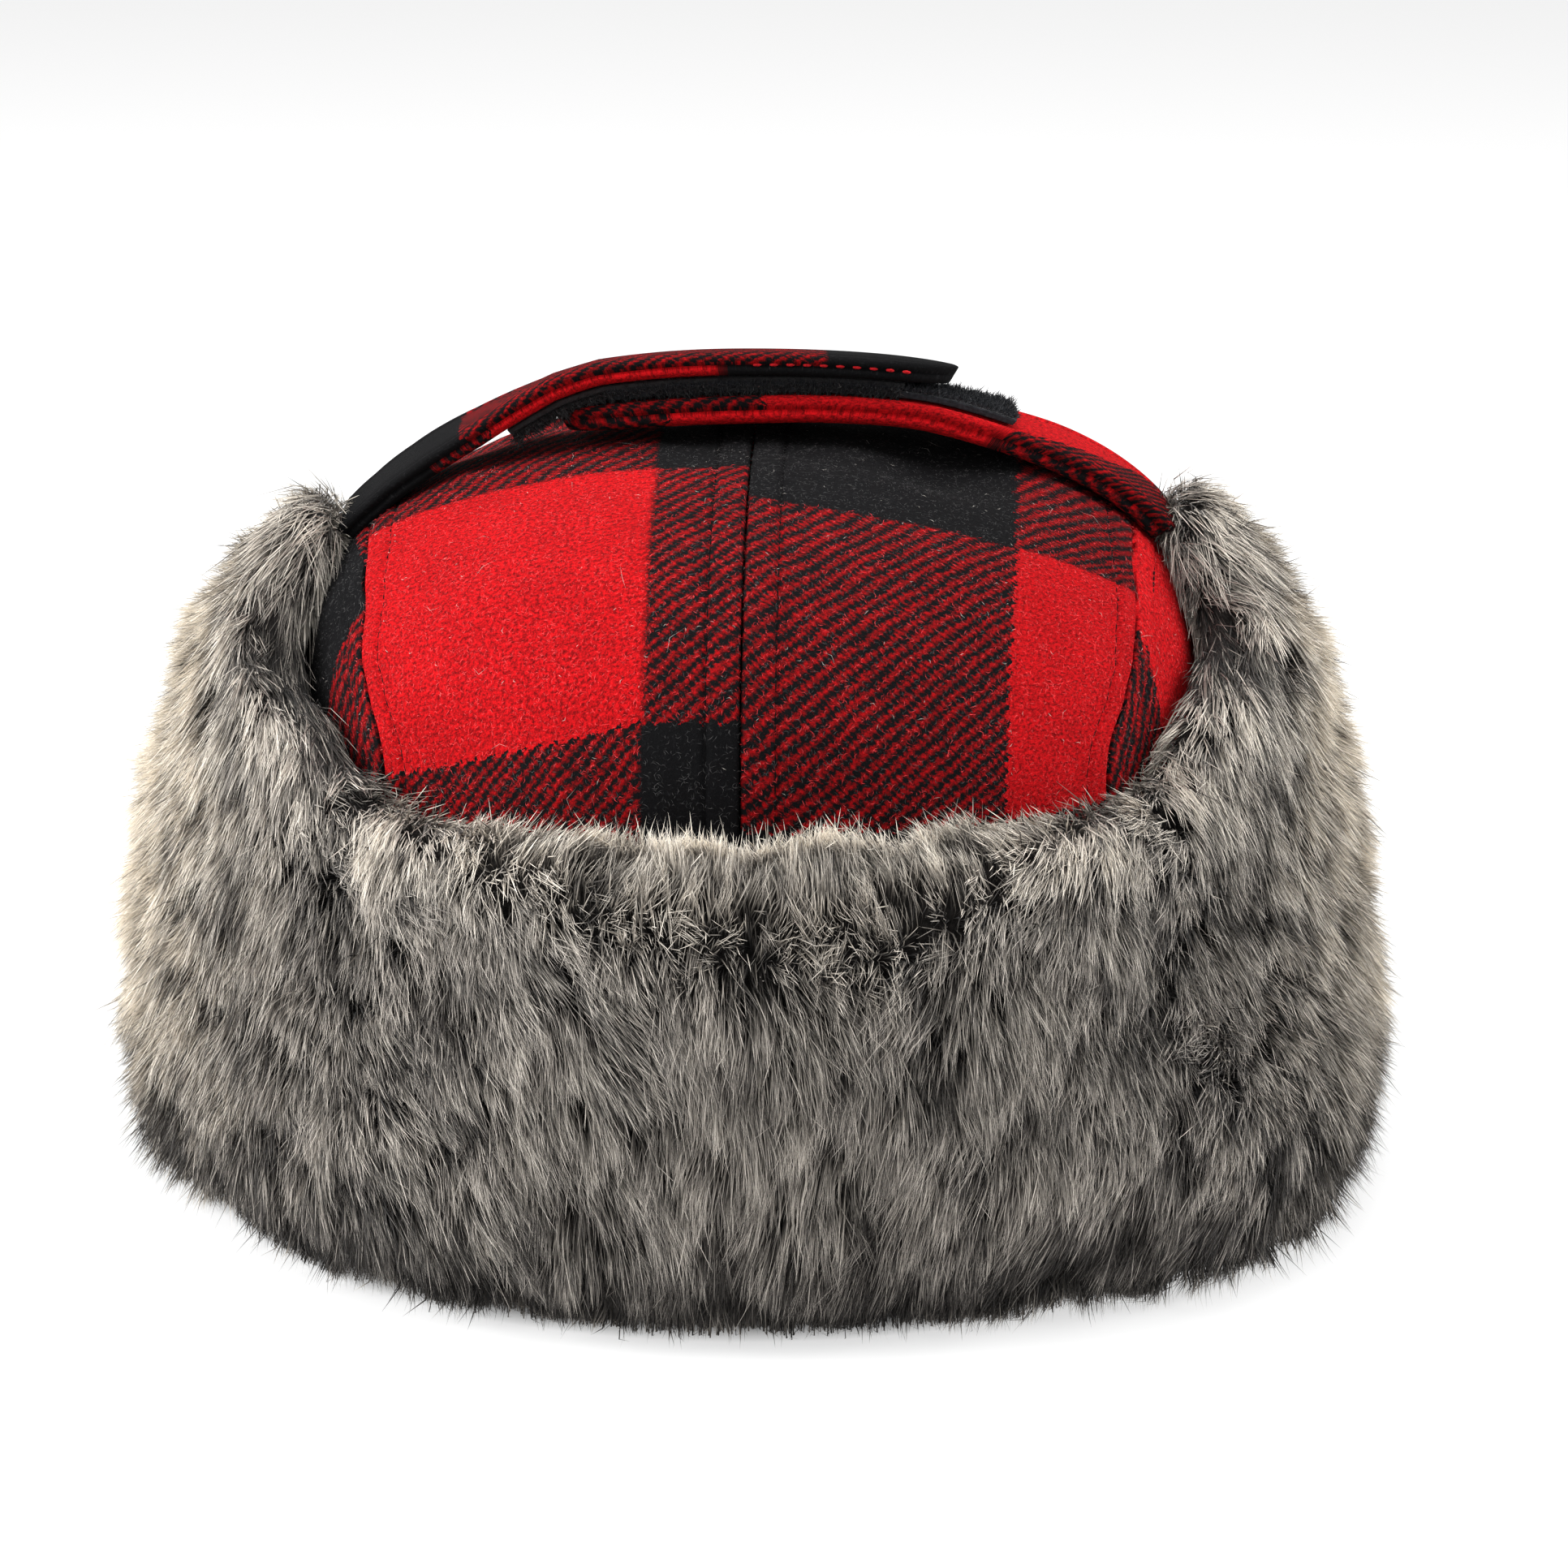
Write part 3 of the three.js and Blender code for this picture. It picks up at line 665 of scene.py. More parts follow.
near_column = int(np.argmin(abs(SEAM_COLUMNS - STITCH_LINE)))
crown_lines = []
for sheet in ["top_left", "top_right"]:
    crown_lines.append(line_beside_seam(sheet, near_column))
    crown_lines.append(line_beside_seam(sheet, -1 - near_column))
for side in [-1, 1]:
    crown_lines.append(arch_line(side, STITCH_LINE))
stitches("crown_stitches", crown_lines, 2.7, 2.5, 0.42, dark_thread, "crown_wool", 0.02)

# %% [markdown]
# ## Straps
# Each strap is two layers of the crown's wool, turned in at the edges and stitched together. Its
# section is one closed outline with a groove between the layers and a shallow dip at the stitches.
# It could be a swept profile, but a strap that tilts, climbs and narrows on its way over the dome is
# easier as a grid whose rows are worked out one by one. The free end is rounded off. The tapes lie
# on the lower strap and under the upper one.

# %% Strap sections
STRAP_ROOT = 25.0
STRAP_OUTLINE = {
    "across": [0, 0.3, 0.6, 0.68, 0.73, 0.78, 0.86, 0.93, 0.975, 1.0, 0.995, 0.965, 0.935],
    "height": [1, 1, 0.985, 0.955, 0.91, 0.955, 0.99, 0.965, 0.89, 0.77, 0.64, 0.55, 0.5],
}
BOW = {"turn": [25, 42, 60, 90, 123], "bow": [0, 0.65, 1, 0.65, 0.4]}
CLIMB = {
    "turn": [25, 30, 36, 41, 46, 52, 59, 66],
    "climb": [0, 0.02, 0.13, 0.27, 0.42, 0.64, 0.88, 1],
}
LOWER_LIE = (3.0, 0.002)
UPPER_LIE = (5.5, 0.0035)
LOWER_THICKNESS = 5.6
UPPER_THICKNESS = 4.4


def dome_radius(turn):
    across = np.abs(np.cos(np.radians(turn))) / HALF_WIDTH
    up = np.sin(np.radians(turn)) / (CROWN_TOP - CROWN_SHOULDER)
    return (across**ROUNDNESS + up**ROUNDNESS) ** (-1 / ROUNDNESS)


def lower_strap(turn):
    return CLEARANCE + STRAP_BOW * np.interp(turn, BOW["turn"], BOW["bow"])


def loop_tape(turn):
    return lower_strap(turn) + LOWER_THICKNESS + LAYER_GAP


def hook_tape(turn):
    carried = loop_tape(180 - turn) + TAPE_THICKNESS + LAYER_GAP
    climb = np.interp(turn, CLIMB["turn"], CLIMB["climb"])
    return mix(CLEARANCE - TAPE_THICKNESS - LAYER_GAP, carried, climb)


def upper_strap(turn):
    return hook_tape(turn) + TAPE_THICKNESS + LAYER_GAP


def strip_point(side, turn, across, height, lie=(0.0, 0.0)):
    grown = smooth_step(38, 66, turn)
    tilt = math.tan(math.radians(STRAP_TILT)) * (STRAP_WIDTH / 2 - across)
    droop = math.tan(math.radians(lie[0])) * across + lie[1] * across**2
    reach = dome_radius(turn) + height + (tilt - droop) * grown
    right = middle[0] + side * reach * np.cos(np.radians(turn))
    back = middle[1] + STRAP_SHIFT + across
    up = CROWN_SHOULDER + reach * np.sin(np.radians(turn))
    return np.stack(np.broadcast_arrays(right, back, up), axis=-1)


def closed_outline(table):
    """Shares across and up around the section, and 1 for the top layer or 0 for the bottom one."""
    across = np.array(table["across"])
    height = np.array(table["height"])
    right = np.concatenate([across, across[::-1]])
    level = np.concatenate([height, 1 - height[::-1]])
    layer = np.repeat([1, 0], len(across))
    around = np.concatenate([right, -right[-2::-1]]) / 2
    return around, np.concatenate([level, level[-2::-1]]), np.concatenate([layer, layer[-2::-1]])


def strip_turns(end, width, step):
    tip = math.degrees(width / 2 / dome_radius(end))
    turns = list(np.arange(STRAP_ROOT, end - tip, step))
    widths = [1.0] * len(turns)
    for angle in np.radians(np.linspace(0, 84, 13)):
        turns.append(end - tip * (1 - math.sin(angle)))
        widths.append(math.cos(angle) ** 0.6)
    return np.array(turns), np.array(widths)


# %% [markdown]
# ### Checks on the straps
# The two layers of a strap are cut from different places of the cloth, so their checks don't meet.
# For each layer, "red" gives where along the cap its red stripe of the warp starts and ends, and
# "shift" says which weft stripe it lies in: above zero it is red, below zero black.

# %% Checks on the straps
STRAP_CHECKS = {
    "lower": {
        "top": {"red": (2.3, 78.0), "at": [-60, 44, 47, 66, 76], "shift": [10, 10, -1, -12, -28]},
        "bottom": {"red": (-15.3, 86.0), "at": [-60, 44, 47, 90], "shift": [10, 10, -20, -20]},
    },
    "upper": {
        "top": {"red": (-53.0, 14.0), "at": [-90, 90], "shift": [-45, -45]},
        "bottom": {"red": (-49.0, -4.0), "at": [-62, -60, -6, -4], "shift": [-40, 10, 10, -40]},
    },
}


def closed_band(places, weave):
    bm = bmesh.new()
    cloth_grid(bm, places, weave, Vector((middle[0] * MM, middle[1] * MM, 0.0)))
    bmesh.ops.remove_doubles(bm, verts=bm.verts, dist=1e-6)
    rims = [edge for edge in bm.edges if edge.is_boundary]
    bmesh.ops.holes_fill(bm, edges=rims, sides=0)
    bmesh.ops.recalc_face_normals(bm, faces=bm.faces)
    return bm


def strap_weave(checks, run, spine_right, spot, girth):
    order = np.argsort(spine_right)
    start, end = np.interp(checks["red"], spine_right[order], run[order])
    along = CHECK_WIDTH * (run[spot] - start) / (end - start)
    shift = np.interp(spine_right[spot], checks["at"], checks["shift"])
    return along, girth + shift


# %% Strap meshes
def strap_piece(name, side, end, underside, thickness, lie, node):
    turns, widths = strip_turns(end, STRAP_WIDTH, 1.0)
    across, level, layer = closed_outline(STRAP_OUTLINE)
    spine = strip_point(side, turns, 0.0, underside(turns))
    run = arc_lengths(spine)
    waves = 0.10 * np.sin(run / 9.0) + 0.08 * np.sin(run / 23.0 + side)
    edge_drop = np.where(layer == 1, 1 - level, level) * thickness
    girth = (across + 0.5) * STRAP_WIDTH + np.sign(across) * edge_drop
    checks = STRAP_CHECKS[name.split("_")[-1]]
    places, weave = [], []
    for spot, (turn, width) in enumerate(zip(turns, widths)):
        thick = thickness * (0.75 + 0.25 * width)
        height = underside(turn) + (thickness - thick) / 2 + level * thick + waves[spot]
        places.append(strip_point(side, turn, across * STRAP_WIDTH * width, height, lie))
        top = strap_weave(checks["top"], run, spine[:, 0], spot, girth)
        bottom = strap_weave(checks["bottom"], run, spine[:, 0], spot, girth)
        along = np.where(layer == 1, top[0], bottom[0])
        weave.append(np.stack([along, np.where(layer == 1, top[1], bottom[1])], axis=-1))
    bm = closed_band(np.array(places), np.array(weave))
    finish_piece(new_piece(name, bm), strap_wool, "strap_wool", node)


strap_piece("wool_strap_lower", 1, 123, lower_strap, LOWER_THICKNESS, LOWER_LIE, "strap_lower")
strap_piece("wool_strap_upper", -1, 120.5, upper_strap, UPPER_THICKNESS, UPPER_LIE, "strap_upper")


# %% Strap stitches
def strap_stitch_lines(side, end, height, lie):
    turns, widths = strip_turns(end, STRAP_WIDTH, 1.0)
    lines = []
    for edge in [-1, 1]:
        across = edge * STRAP_WIDTH * 0.365 * widths
        line = strip_point(side, turns, across, height(turns), lie)
        lines.append((line, unit(line - np.array([middle[0], middle[1], 40]))))
    return lines


def lower_top(turn):
    return lower_strap(turn) + 0.91 * LOWER_THICKNESS


def upper_top(turn):
    return upper_strap(turn) + 0.91 * UPPER_THICKNESS


strap_lines = strap_stitch_lines(1, 121, lower_top, LOWER_LIE)
strap_lines += strap_stitch_lines(-1, 118.5, upper_top, UPPER_LIE)
stitches("strap_stitches", strap_lines, 3.0, 2.4, 0.5, dark_thread, "strap_wool")

groove_turns = np.arange(88.0, 118.0)
groove_height = upper_strap(groove_turns) + 0.52 * UPPER_THICKNESS
groove = strip_point(-1, groove_turns, -0.487 * STRAP_WIDTH, groove_height, UPPER_LIE)
groove_out = np.broadcast_to(np.array([0.0, -1.0, 0.1]), groove.shape)
stitches("strap_edge_stitches", [(groove, groove_out)], 3.2, 1.9, 0.75, red_thread, "strap_wool", 0.0)

# %% [markdown]
# ## Hook and loop tape
# The loop tape is a thin black band under a mat of tiny loops, which shows past the tip of the upper
# strap. The hook tape is a stiff band with rows of hooks that point down, seen as a fine comb along
# the near edge. Both bands are plain slabs with their corners turned in, and the mat and the hooks
# are strands set on them.

# %% Tape finishes
def tape_material(name, color, roughness, scale):
    stops = [(0.35, [part * 0.4 for part in color]), (0.7, color)]
    return grainy_material(name, roughness, (scale, 3, 0.6), stops, 0.0006, 0.8, 0.15)[0]


loop_finish = tape_material("Loop tape", (0.02, 0.022, 0.027), 0.95, 1400)
hook_finish = tape_material("Hook tape", (0.01, 0.01, 0.011), 0.5, 900)


# %% Tape bands
def tape_piece(name, side, start, end, underside, lie, finish, slot_name, node):
    turns = np.arange(start, end + 0.5, 1.0)
    edge = TAPE_WIDTH / 2
    across = np.array([-edge + 0.2, -edge, -edge, -edge + 0.2, edge - 0.2, edge, edge, edge - 0.2])
    level = np.array([0, 0.2, 0.8, 1, 1, 0.8, 0.2, 0]) * TAPE_THICKNESS
    across, level = np.append(across, across[0]), np.append(level, level[0])
    places = np.array([strip_point(side, t, across, underside(t) + level, lie) for t in turns])
    bm = closed_band(places, np.zeros((*places.shape[:2], 2)))
    finish_piece(new_piece(name, bm, False), finish, slot_name, node)


tape_piece("tape_loop", 1, 49, 114, loop_tape, LOWER_LIE, loop_finish, "loop_tape", "loop_tape")
tape_piece("tape_hook", -1, 50, 114, hook_tape, UPPER_LIE, hook_finish, "hook_tape", "hook_tape")


# %% Loops and hooks
def tape_strands(name, count, side, turns, across, base, lie, height, width, finish, seed):
    draw = np.random.default_rng(seed)
    turn = draw.uniform(*turns, count)
    place = draw.uniform(*across, count)
    root = strip_point(side, turn, place, base(turn), lie)
    up = unit(strip_point(side, turn, place, base(turn) + 1.0, lie) - root)
    lean = draw.normal(size=(count, 3)) * 0.55
    bent = root + (up * 0.6 + lean * 0.25) * height
    tip = root + (up * 0.85 + lean) * height
    lines = np.stack([root, bent, tip], axis=1)
    facing = unit(draw.normal(size=(count, 3)) + np.array([0, -0.8, 0]))
    marks = np.stack([draw.uniform(0.2, 1, count), draw.uniform(0, 1, count)], axis=-1)
    piece = ribbon_piece(name, lines, np.full(count, width), facing, marks)
    finish_piece(piece, finish, name.split("_")[0] + "_tape")


def loop_top(turn):
    return loop_tape(turn) + TAPE_THICKNESS - 0.1


LOOPS = (loop_top, LOWER_LIE)
HOOKS = (hook_tape, UPPER_LIE)
tape_strands("loop_mat", 5600, 1, (49, 66), (-10, 10), *LOOPS, 1.1, 0.2, loop_finish, 21)
tape_strands("loop_edge", 2600, 1, (66, 114), (-10.6, -8.5), *LOOPS, 1.2, 0.2, loop_finish, 22)
tape_strands("hook_comb", 3000, -1, (50, 114), (-10.4, -8.5), *HOOKS, -2.0, 0.32, hook_finish, 23)
tape_strands("hook_field", 2400, -1, (50, 74), (-9, 10), *HOOKS, -1.5, 0.32, hook_finish, 24)

# %% [markdown]
# ## The pile
# Deep fur could be a particle system, but that doesn't leave Blender as a mesh. Here each strand is a
# kite of two triangles, and a few hundred thousand of them are written with arrays. A strand's root
# sits on a dark backing well below the pile's outline and its tip lies on the outline, so the
# silhouette keeps the solid's form. Strands are drawn in locks: the strands of a lock share a
# direction, a length and a shade, and their tips come together.

# %% The pile's outline
PILE_OUTLINE = {
    "height": [0.86, 0.95, 1.0, 0.985, 0.92, 0.84, 0.72, 0.58, 0.4, 0.22, 0.08, 0.02, 0.0, 0.0],
    "front": [0.0, 0.0, 0.12, 0.31, 0.45, 0.55, 0.63, 0.68, 0.7, 0.69, 0.61, 0.46, 0.25, 0.05],
    "flap": [0.0, 0.0, 0.14, 0.34, 0.49, 0.59, 0.71, 0.82, 0.91, 0.95, 0.9, 0.76, 0.56, 0.34],
}
OUTLINE_STEPS = 240
# Each bump is where it is around the cap, how wide it is, both in degrees, and its size.
RIM_DENTS = [(284, 9, 14.0), (76, 8, 9.0)]
RIM_HOLLOWS = [(283, 10, 1.0), (76, 8, 0.8)]
LOW_FULLNESS = [(50, 21, 16.0), (313, 18, 5.0)]
LEFT_FULLNESS = 1.5
INWARD_LEAN = 9.0
LEAN_START = 98.0


def smooth_outline(table):
    rough = np.array([table["height"], table["front"], table["flap"]]).T
    scale = np.array([BAND_HEIGHT + 12, FUR_DEPTH, FUR_DEPTH])
    arc = arc_lengths(rough * scale)
    even = np.linspace(0, arc[-1], OUTLINE_STEPS)
    fine = np.stack([np.interp(even, arc, rough[:, k]) for k in range(3)], axis=-1)
    kernel = np.hanning(17)
    kernel /= kernel.sum()
    padded = np.pad(fine, ((8, 8), (0, 0)), mode="edge")
    return np.stack([np.convolve(padded[:, k], kernel, "valid") for k in range(3)], axis=-1)


pile_outline = smooth_outline(PILE_OUTLINE)
outline_share = np.linspace(0, 1, OUTLINE_STEPS)


def from_front(turn):
    return np.abs((np.asarray(turn) + 180) % 360 - 180)


def from_ends(turn):
    """Degrees from the front or the back, whichever is nearer."""
    ahead = from_front(turn)
    return np.minimum(ahead, 180 - ahead)


def flap_rise(turn):
    return smooth_step(FLAP_START, FLAP_FULL, from_ends(turn))


def on_left(turn):
    return np.where(turn % 360 > 180, 1, 0)


def bumps(turn, table):
    total = 0
    for centre, width, size in table:
        away = (np.asarray(turn) - centre + 180) % 360 - 180
        total = total + size * np.exp(-((away / width) ** 2))
    return total


def flap_hollow(turn, walk):
    """The pile is parted where each flap's front edge bends away from the crown."""
    return bumps(turn, RIM_HOLLOWS) * (1 - smooth_step(0.13, 0.2, walk))


def flap_height(turn):
    return mix(BAND_HEIGHT, FLAP_HEIGHT, flap_rise(turn))


def pile_place(turn, walk):
    """A point of the pile's outline. walk runs from 0 behind the hem to 1 under the fold."""
    walk = np.clip(walk, 0, 1)
    share = np.interp(walk, outline_share, pile_outline[:, 0])
    front = np.interp(walk, outline_share, pile_outline[:, 1])
    flap = np.interp(walk, outline_share, pile_outline[:, 2])
    dent = bumps(turn, RIM_DENTS) * (1 - smooth_step(0.1, 0.27, walk))
    height = share * flap_height(turn) - dent
    over = np.clip((height - LEAN_START) / (FLAP_HEIGHT - LEAN_START), 0, 1.2)
    lean = -INWARD_LEAN * over**1.6
    left = LEFT_FULLNESS * flap_rise(turn) * on_left(turn) * smooth_step(0.3, 0.5, walk)
    full = bumps(turn, LOW_FULLNESS) * (1 - smooth_step(0.25, 0.75, share))
    offset = CLEARANCE + FUR_DEPTH * mix(front, flap, flap_rise(turn)) + lean + left + full
    return plan_point(turn + BAND_TWIST, offset, 1.0, height)


def pile_frame(turn, walk):
    walk = np.clip(walk, 0, 1)
    here = pile_place(turn, walk)
    along = (pile_place(turn + 0.4, walk) - pile_place(turn - 0.4, walk)) / 0.8
    low = np.clip(walk - 0.01, 0, 1)
    high = np.clip(walk + 0.01, 0, 1)
    down = (pile_place(turn, high) - pile_place(turn, low)) / (high - low)[..., None]
    outward = unit(np.cross(down, along))
    return here, along, down, outward


test_turn, test_walk = np.array([0.0, 90.0, 180.0]), np.array([0.5, 0.5, 0.5])
print("outward", pile_frame(test_turn, test_walk)[3].round(2).tolist())

# %% [markdown]
# ### Backing
# The backing is a dark sheet well inside the outline. It keeps light from passing through the pile
# and carries the roots. It replaces the flaps' solids together with the strands.

# %% Backing
BACKING_DEPTH = 13.0
BACKING_MARGIN = 2.0


def backing_depth(turn, walk):
    here = pile_place(turn, walk)
    wall = plan_point(turn + BAND_TWIST, CLEARANCE + 0.4, 1.0, here[..., 2])
    room = np.linalg.norm((here - wall)[..., :2], axis=-1)
    full = BACKING_DEPTH * smooth_step(0.0, 0.3, walk) * (1 - 0.45 * smooth_step(0.82, 1.0, walk))
    full = full + BACKING_MARGIN
    return np.minimum(full, np.maximum(0.6 * room, 1.0))


def keep_off_crown(points, clear):
    offset = points - np.array([middle[0], middle[1], CROWN_SHOULDER])
    plan = np.hypot(offset[..., 0] / HALF_WIDTH, offset[..., 1] / HALF_DEPTH)
    up = np.maximum(offset[..., 2], 0) / (CROWN_TOP - CROWN_SHOULDER)
    reach = (plan**ROUNDNESS + up**ROUNDNESS) ** (1 / ROUNDNESS)
    grow = np.maximum(1, (1 + clear / 80) / np.maximum(reach, 0.2))
    moved = points.copy()
    moved[..., 0] = middle[0] + offset[..., 0] * grow
    moved[..., 1] = middle[1] + offset[..., 1] * grow
    return moved


backing_stops = [(0.3, (0.006, 0.0055, 0.005)), (0.8, (0.045, 0.04, 0.037))]
backing_finish = grainy_material("Pile backing", 1.0, (700, 3, 0.6), backing_stops, 0.001, 0.8)[0]
backing_turns = np.linspace(-180, 180, 181)
backing_walks = np.linspace(0, 1, 40)
turn_grid, walk_grid = np.meshgrid(backing_turns, backing_walks)
here, along, down, outward = pile_frame(turn_grid, walk_grid)
backing = here - outward * backing_depth(turn_grid, walk_grid)[..., None]
backing[..., 2] = np.maximum(backing[..., 2], 0.6)
backing = keep_off_crown(backing, 0.6)
bm = bmesh.new()
cloth_grid(bm, backing, np.zeros((*backing.shape[:2], 2)), inside)
bmesh.ops.remove_doubles(bm, verts=bm.verts, dist=1e-5)
bmesh.ops.recalc_face_normals(bm, faces=bm.faces)
backing_piece = new_piece("pile_backing", bm)
add_wall(backing_piece, 0.6)
finish_piece(backing_piece, backing_finish, "fur_pile")

# %% [markdown]
# ### Which way the pile lies
# Below the hem the nap runs down. On the flaps it also sweeps forward, most at their middle, and at
# the back it leans to the other side. In the middle of the front and back the pile along the hem
# stands up, with a parting below it. On the flaps that parting lies behind the rim. Near the floor a
# second one shows where the pile rolls under, and the strands below it stand out. Both wander a
# little, and slow noise turns and ruffles the nap. One table of angles does this for both halves.

# %% Nap
HEM_PARTING = 0.27
FLAP_PARTING = 0.06
FOLD_PARTING = 0.795
HEM_CLOSES = (12, 46)
PARTING_WIDTH = (0.025, 0.05)
RIM_START = (0.04, 0.1)
RIM_FALL = 0.4
FLOW = {
    "turn": [0, 20, 45, 70, 100, 128, 138, 160, 180],
    "angle": [0, 26, 52, 70, 70, 52, -22, -22, 0],
}


def hem_open(turn):
    """1 in the middle of the front and back, where the hem's pile stands up, and 0 on the flaps."""
    return 1 - smooth_step(*HEM_CLOSES, from_ends(turn))


def partings(turn):
    around = np.radians(turn)
    wander = 0.012 * np.sin(5 * around + 1.0) + 0.009 * np.sin(11 * around)
    hem = mix(FLAP_PARTING, HEM_PARTING + wander, hem_open(turn))
    return hem, FOLD_PARTING + 0.8 * wander


def nap(turn, walk, here, lock_angle, jitter):
    hem, fold = partings(turn)
    open_hem = hem_open(turn)
    fall = np.tanh((walk - hem - jitter) / mix(*PARTING_WIDTH, open_hem))
    start = mix(*RIM_START, open_hem)
    fall = mix(RIM_FALL, fall, smooth_step(start, 2 * start, walk))
    under = smooth_step(fold - 0.01, fold + 0.02, walk)
    side = np.where(turn % 360 < 180, -1.0, 1.0)
    angle = side * np.radians(np.interp(from_front(turn), FLOW["turn"], FLOW["angle"]))
    angle = angle * mix(1.0, mix(0.4, 1.0, (fall + 1) / 2), open_hem) * (1 - 0.4 * under)
    angle = angle + 0.26 * drift(here, 34, 11) + 0.14 * drift(here, 13, 12) + lock_angle
    return np.sin(angle), np.cos(angle) * fall, fall, under


# %% Strand finish
def fur_material():
    material, tree, shader = new_material("Fur strands", 0.75, 0.1)
    mark = tree.nodes.new("ShaderNodeUVMap")
    mark.uv_map = "Strand"
    split = tree.nodes.new("ShaderNodeSeparateXYZ")
    tree.links.new(mark.outputs["UV"], split.inputs[0])
    shade, height = split.outputs[0], split.outputs[1]
    pale = tree.nodes.new("ShaderNodeAttribute")
    pale.attribute_name = "pale"
    body = ramp(tree, height, [
        (0.0, (0.006, 0.0055, 0.005, 1)),
        (0.4, (0.026, 0.024, 0.021, 1)),
        (0.65, (0.18, 0.167, 0.150, 1)),
        (0.85, (0.45, 0.42, 0.383, 1)),
        (1.0, (0.62, 0.585, 0.535, 1)),
    ])
    frost = ramp(tree, height, [
        (0.0, (0.01, 0.009, 0.008, 1)),
        (0.35, (0.10, 0.09, 0.08, 1)),
        (0.65, (0.55, 0.51, 0.45, 1)),
        (1.0, (0.93, 0.89, 0.81, 1)),
    ])
    color = blend_colors(tree, pale.outputs["Fac"], body, frost)
    # The tone brings in each strand's shade, which holds its own tone together with painted shade and
    # light.
    tone = ramp(tree, shade, [
        (0.0, (0.12, 0.115, 0.115, 1)),
        (0.5, (0.90, 0.875, 0.855, 1)),
        (1.0, (1.35, 1.32, 1.28, 1)),
    ])
    color = blend_colors(tree, 1.0, color, tone, "MULTIPLY")
    tree.links.new(color, shader.inputs["Base Color"])
    return material


fur_finish = fur_material()

# %% [markdown]
# ### Growing the strands
# First the locks are placed, evenly over the surface. Zones such as the rim, the flank and the groove
# near the floor then say, from 0 to 1, where the pile looks different, and three tables weigh them
# into lift, shade and pale tips. Much of that shade and paleness is painted shade and light: darker
# in pockets, hollows, the groove and towards the floor, lighter at the parting, below the groove and
# on the flanks. Each lock grows its strands around its own root. Root, middle and tip are found on
# the outline at three places along the nap, each at its own depth, and moved clear of the crown and
# the floor.

# %% Locks and strands
LOCK_SPREAD = 1.35
STRANDS_PER_LOCK = 22
STRANDS = 90000
PILE_RUN = 12.5
WILD_SHARE = 0.12
BEND_PLACE = 0.4


def spread_locks(first, last, locks, seed):
    draw = np.random.default_rng(seed)
    turn = draw.uniform(first, last, 40000)
    walk = draw.uniform(0.05, 1.0, 40000)
    along, down = pile_frame(turn, walk)[1:3]
    area = np.linalg.norm(np.cross(along, down), axis=-1)
    chosen = draw.uniform(size=len(turn)) < area / area.max()
    total = area.mean() * (last - first) * 0.95
    print(round(math.sqrt(total / locks), 2), "mm between locks")
    return turn[chosen][:locks], walk[chosen][:locks]


def lock_traits(draw, turn, walk):
    count = len(turn)
    return {
        "turn": turn,
        "walk": walk,
        "angle": draw.normal(0, 0.13, count),
        "part": draw.normal(0, 0.035, count),
        "run": PILE_RUN * draw.uniform(0.7, 1.25, count),
        "lift": draw.normal(0.2, 0.6, count),
        "shade": draw.normal(0.5, 0.21, count),
    }


# %% Zones of the pile
LIFTS = {"inner": 4.0, "hollow": -7.0, "pocket": -3.0, "roll": 2.5, "split": 1.8, "groove": -2.0}
# Painted shade and light in the tone: darker in the pockets, the flaps' hollows, the groove above the
# floor and towards the bottom; lighter at the hem's parting and on the tufts below the groove. The rim
# is made a little lighter too.
TONE_AND_PAINTED_LIGHT = {
    "pocket": -0.45, "low": -0.25, "bottom": -0.42, "groove": -0.3,
    "hollow": -0.4, "below": 0.45, "parted": 0.35, "rim": 0.15,
}
# Paler tips along the rim; the other entries are painted light and shade: paler at the parting and
# below the groove, less pale in the hollows and at the bottom.
PALE_TIPS_AND_PAINTED_LIGHT = {"rim": 0.85, "parted": 0.5, "hollow": -0.5, "below": 0.3, "bottom": -0.1}
# On the flaps' flanks the tone is lighter and the tips paler, for the right and the left flap: partly
# their cream colour and partly painted light, more on the left, where the strongest lamp stands.
FLANK_PAINTED_LIGHT = (0.26, 0.36)
FLANK_PALE_AND_PAINTED_LIGHT = (0.78, 0.98)


def zones(turn, walk, here, fall):
    """How much, from 0 to 1, each strand belongs to the places where the pile looks different."""
    fold = partings(turn)[1]
    rise = flap_rise(turn)
    low = smooth_step(0.55, 0.95, walk)
    roll = smooth_step(0.05, 0.13, walk) * (1 - smooth_step(0.13, 0.24, walk))
    return {
        "pocket": smooth_step(0.5, 0.95, drift(here, 24, 18)),
        "roll": roll * mix(0.5, 1.0, hem_open(turn)),
        "rim": 1 - smooth_step(0.14, 0.26, walk),
        "inner": rise**2 * (1 - smooth_step(0.08, 0.16, walk)),
        "hollow": flap_hollow(turn, walk),
        "flank": rise * smooth_step(0.15, 0.3, walk) * (1 - 0.45 * low),
        "split": 1 - np.abs(fall),
        "parted": (1 - np.abs(fall)) * hem_open(turn),
        "low": low,
        "bottom": smooth_step(0.62, 0.76, walk),
        "groove": np.exp(-(((walk - fold + 0.005) / 0.028) ** 2)),
        "below": smooth_step(0.02, 0.05, walk - fold),
    }


def weighed(zone, weights):
    return sum(weight * zone[name] for name, weight in weights.items())


# %% Depths and shades of the strands
def pile_lift(draw, here, zone, under, wild):
    count = len(under)
    lift = draw.normal(0.4, 0.7, count) + np.where(wild, draw.uniform(0.5, 3.5, count), 0)
    lift = lift + 1.0 * drift(here, 26, 14) + 0.6 * drift(here, 11, 15) + weighed(zone, LIFTS)
    return lift + under * draw.uniform(1.0, 7.5, count)


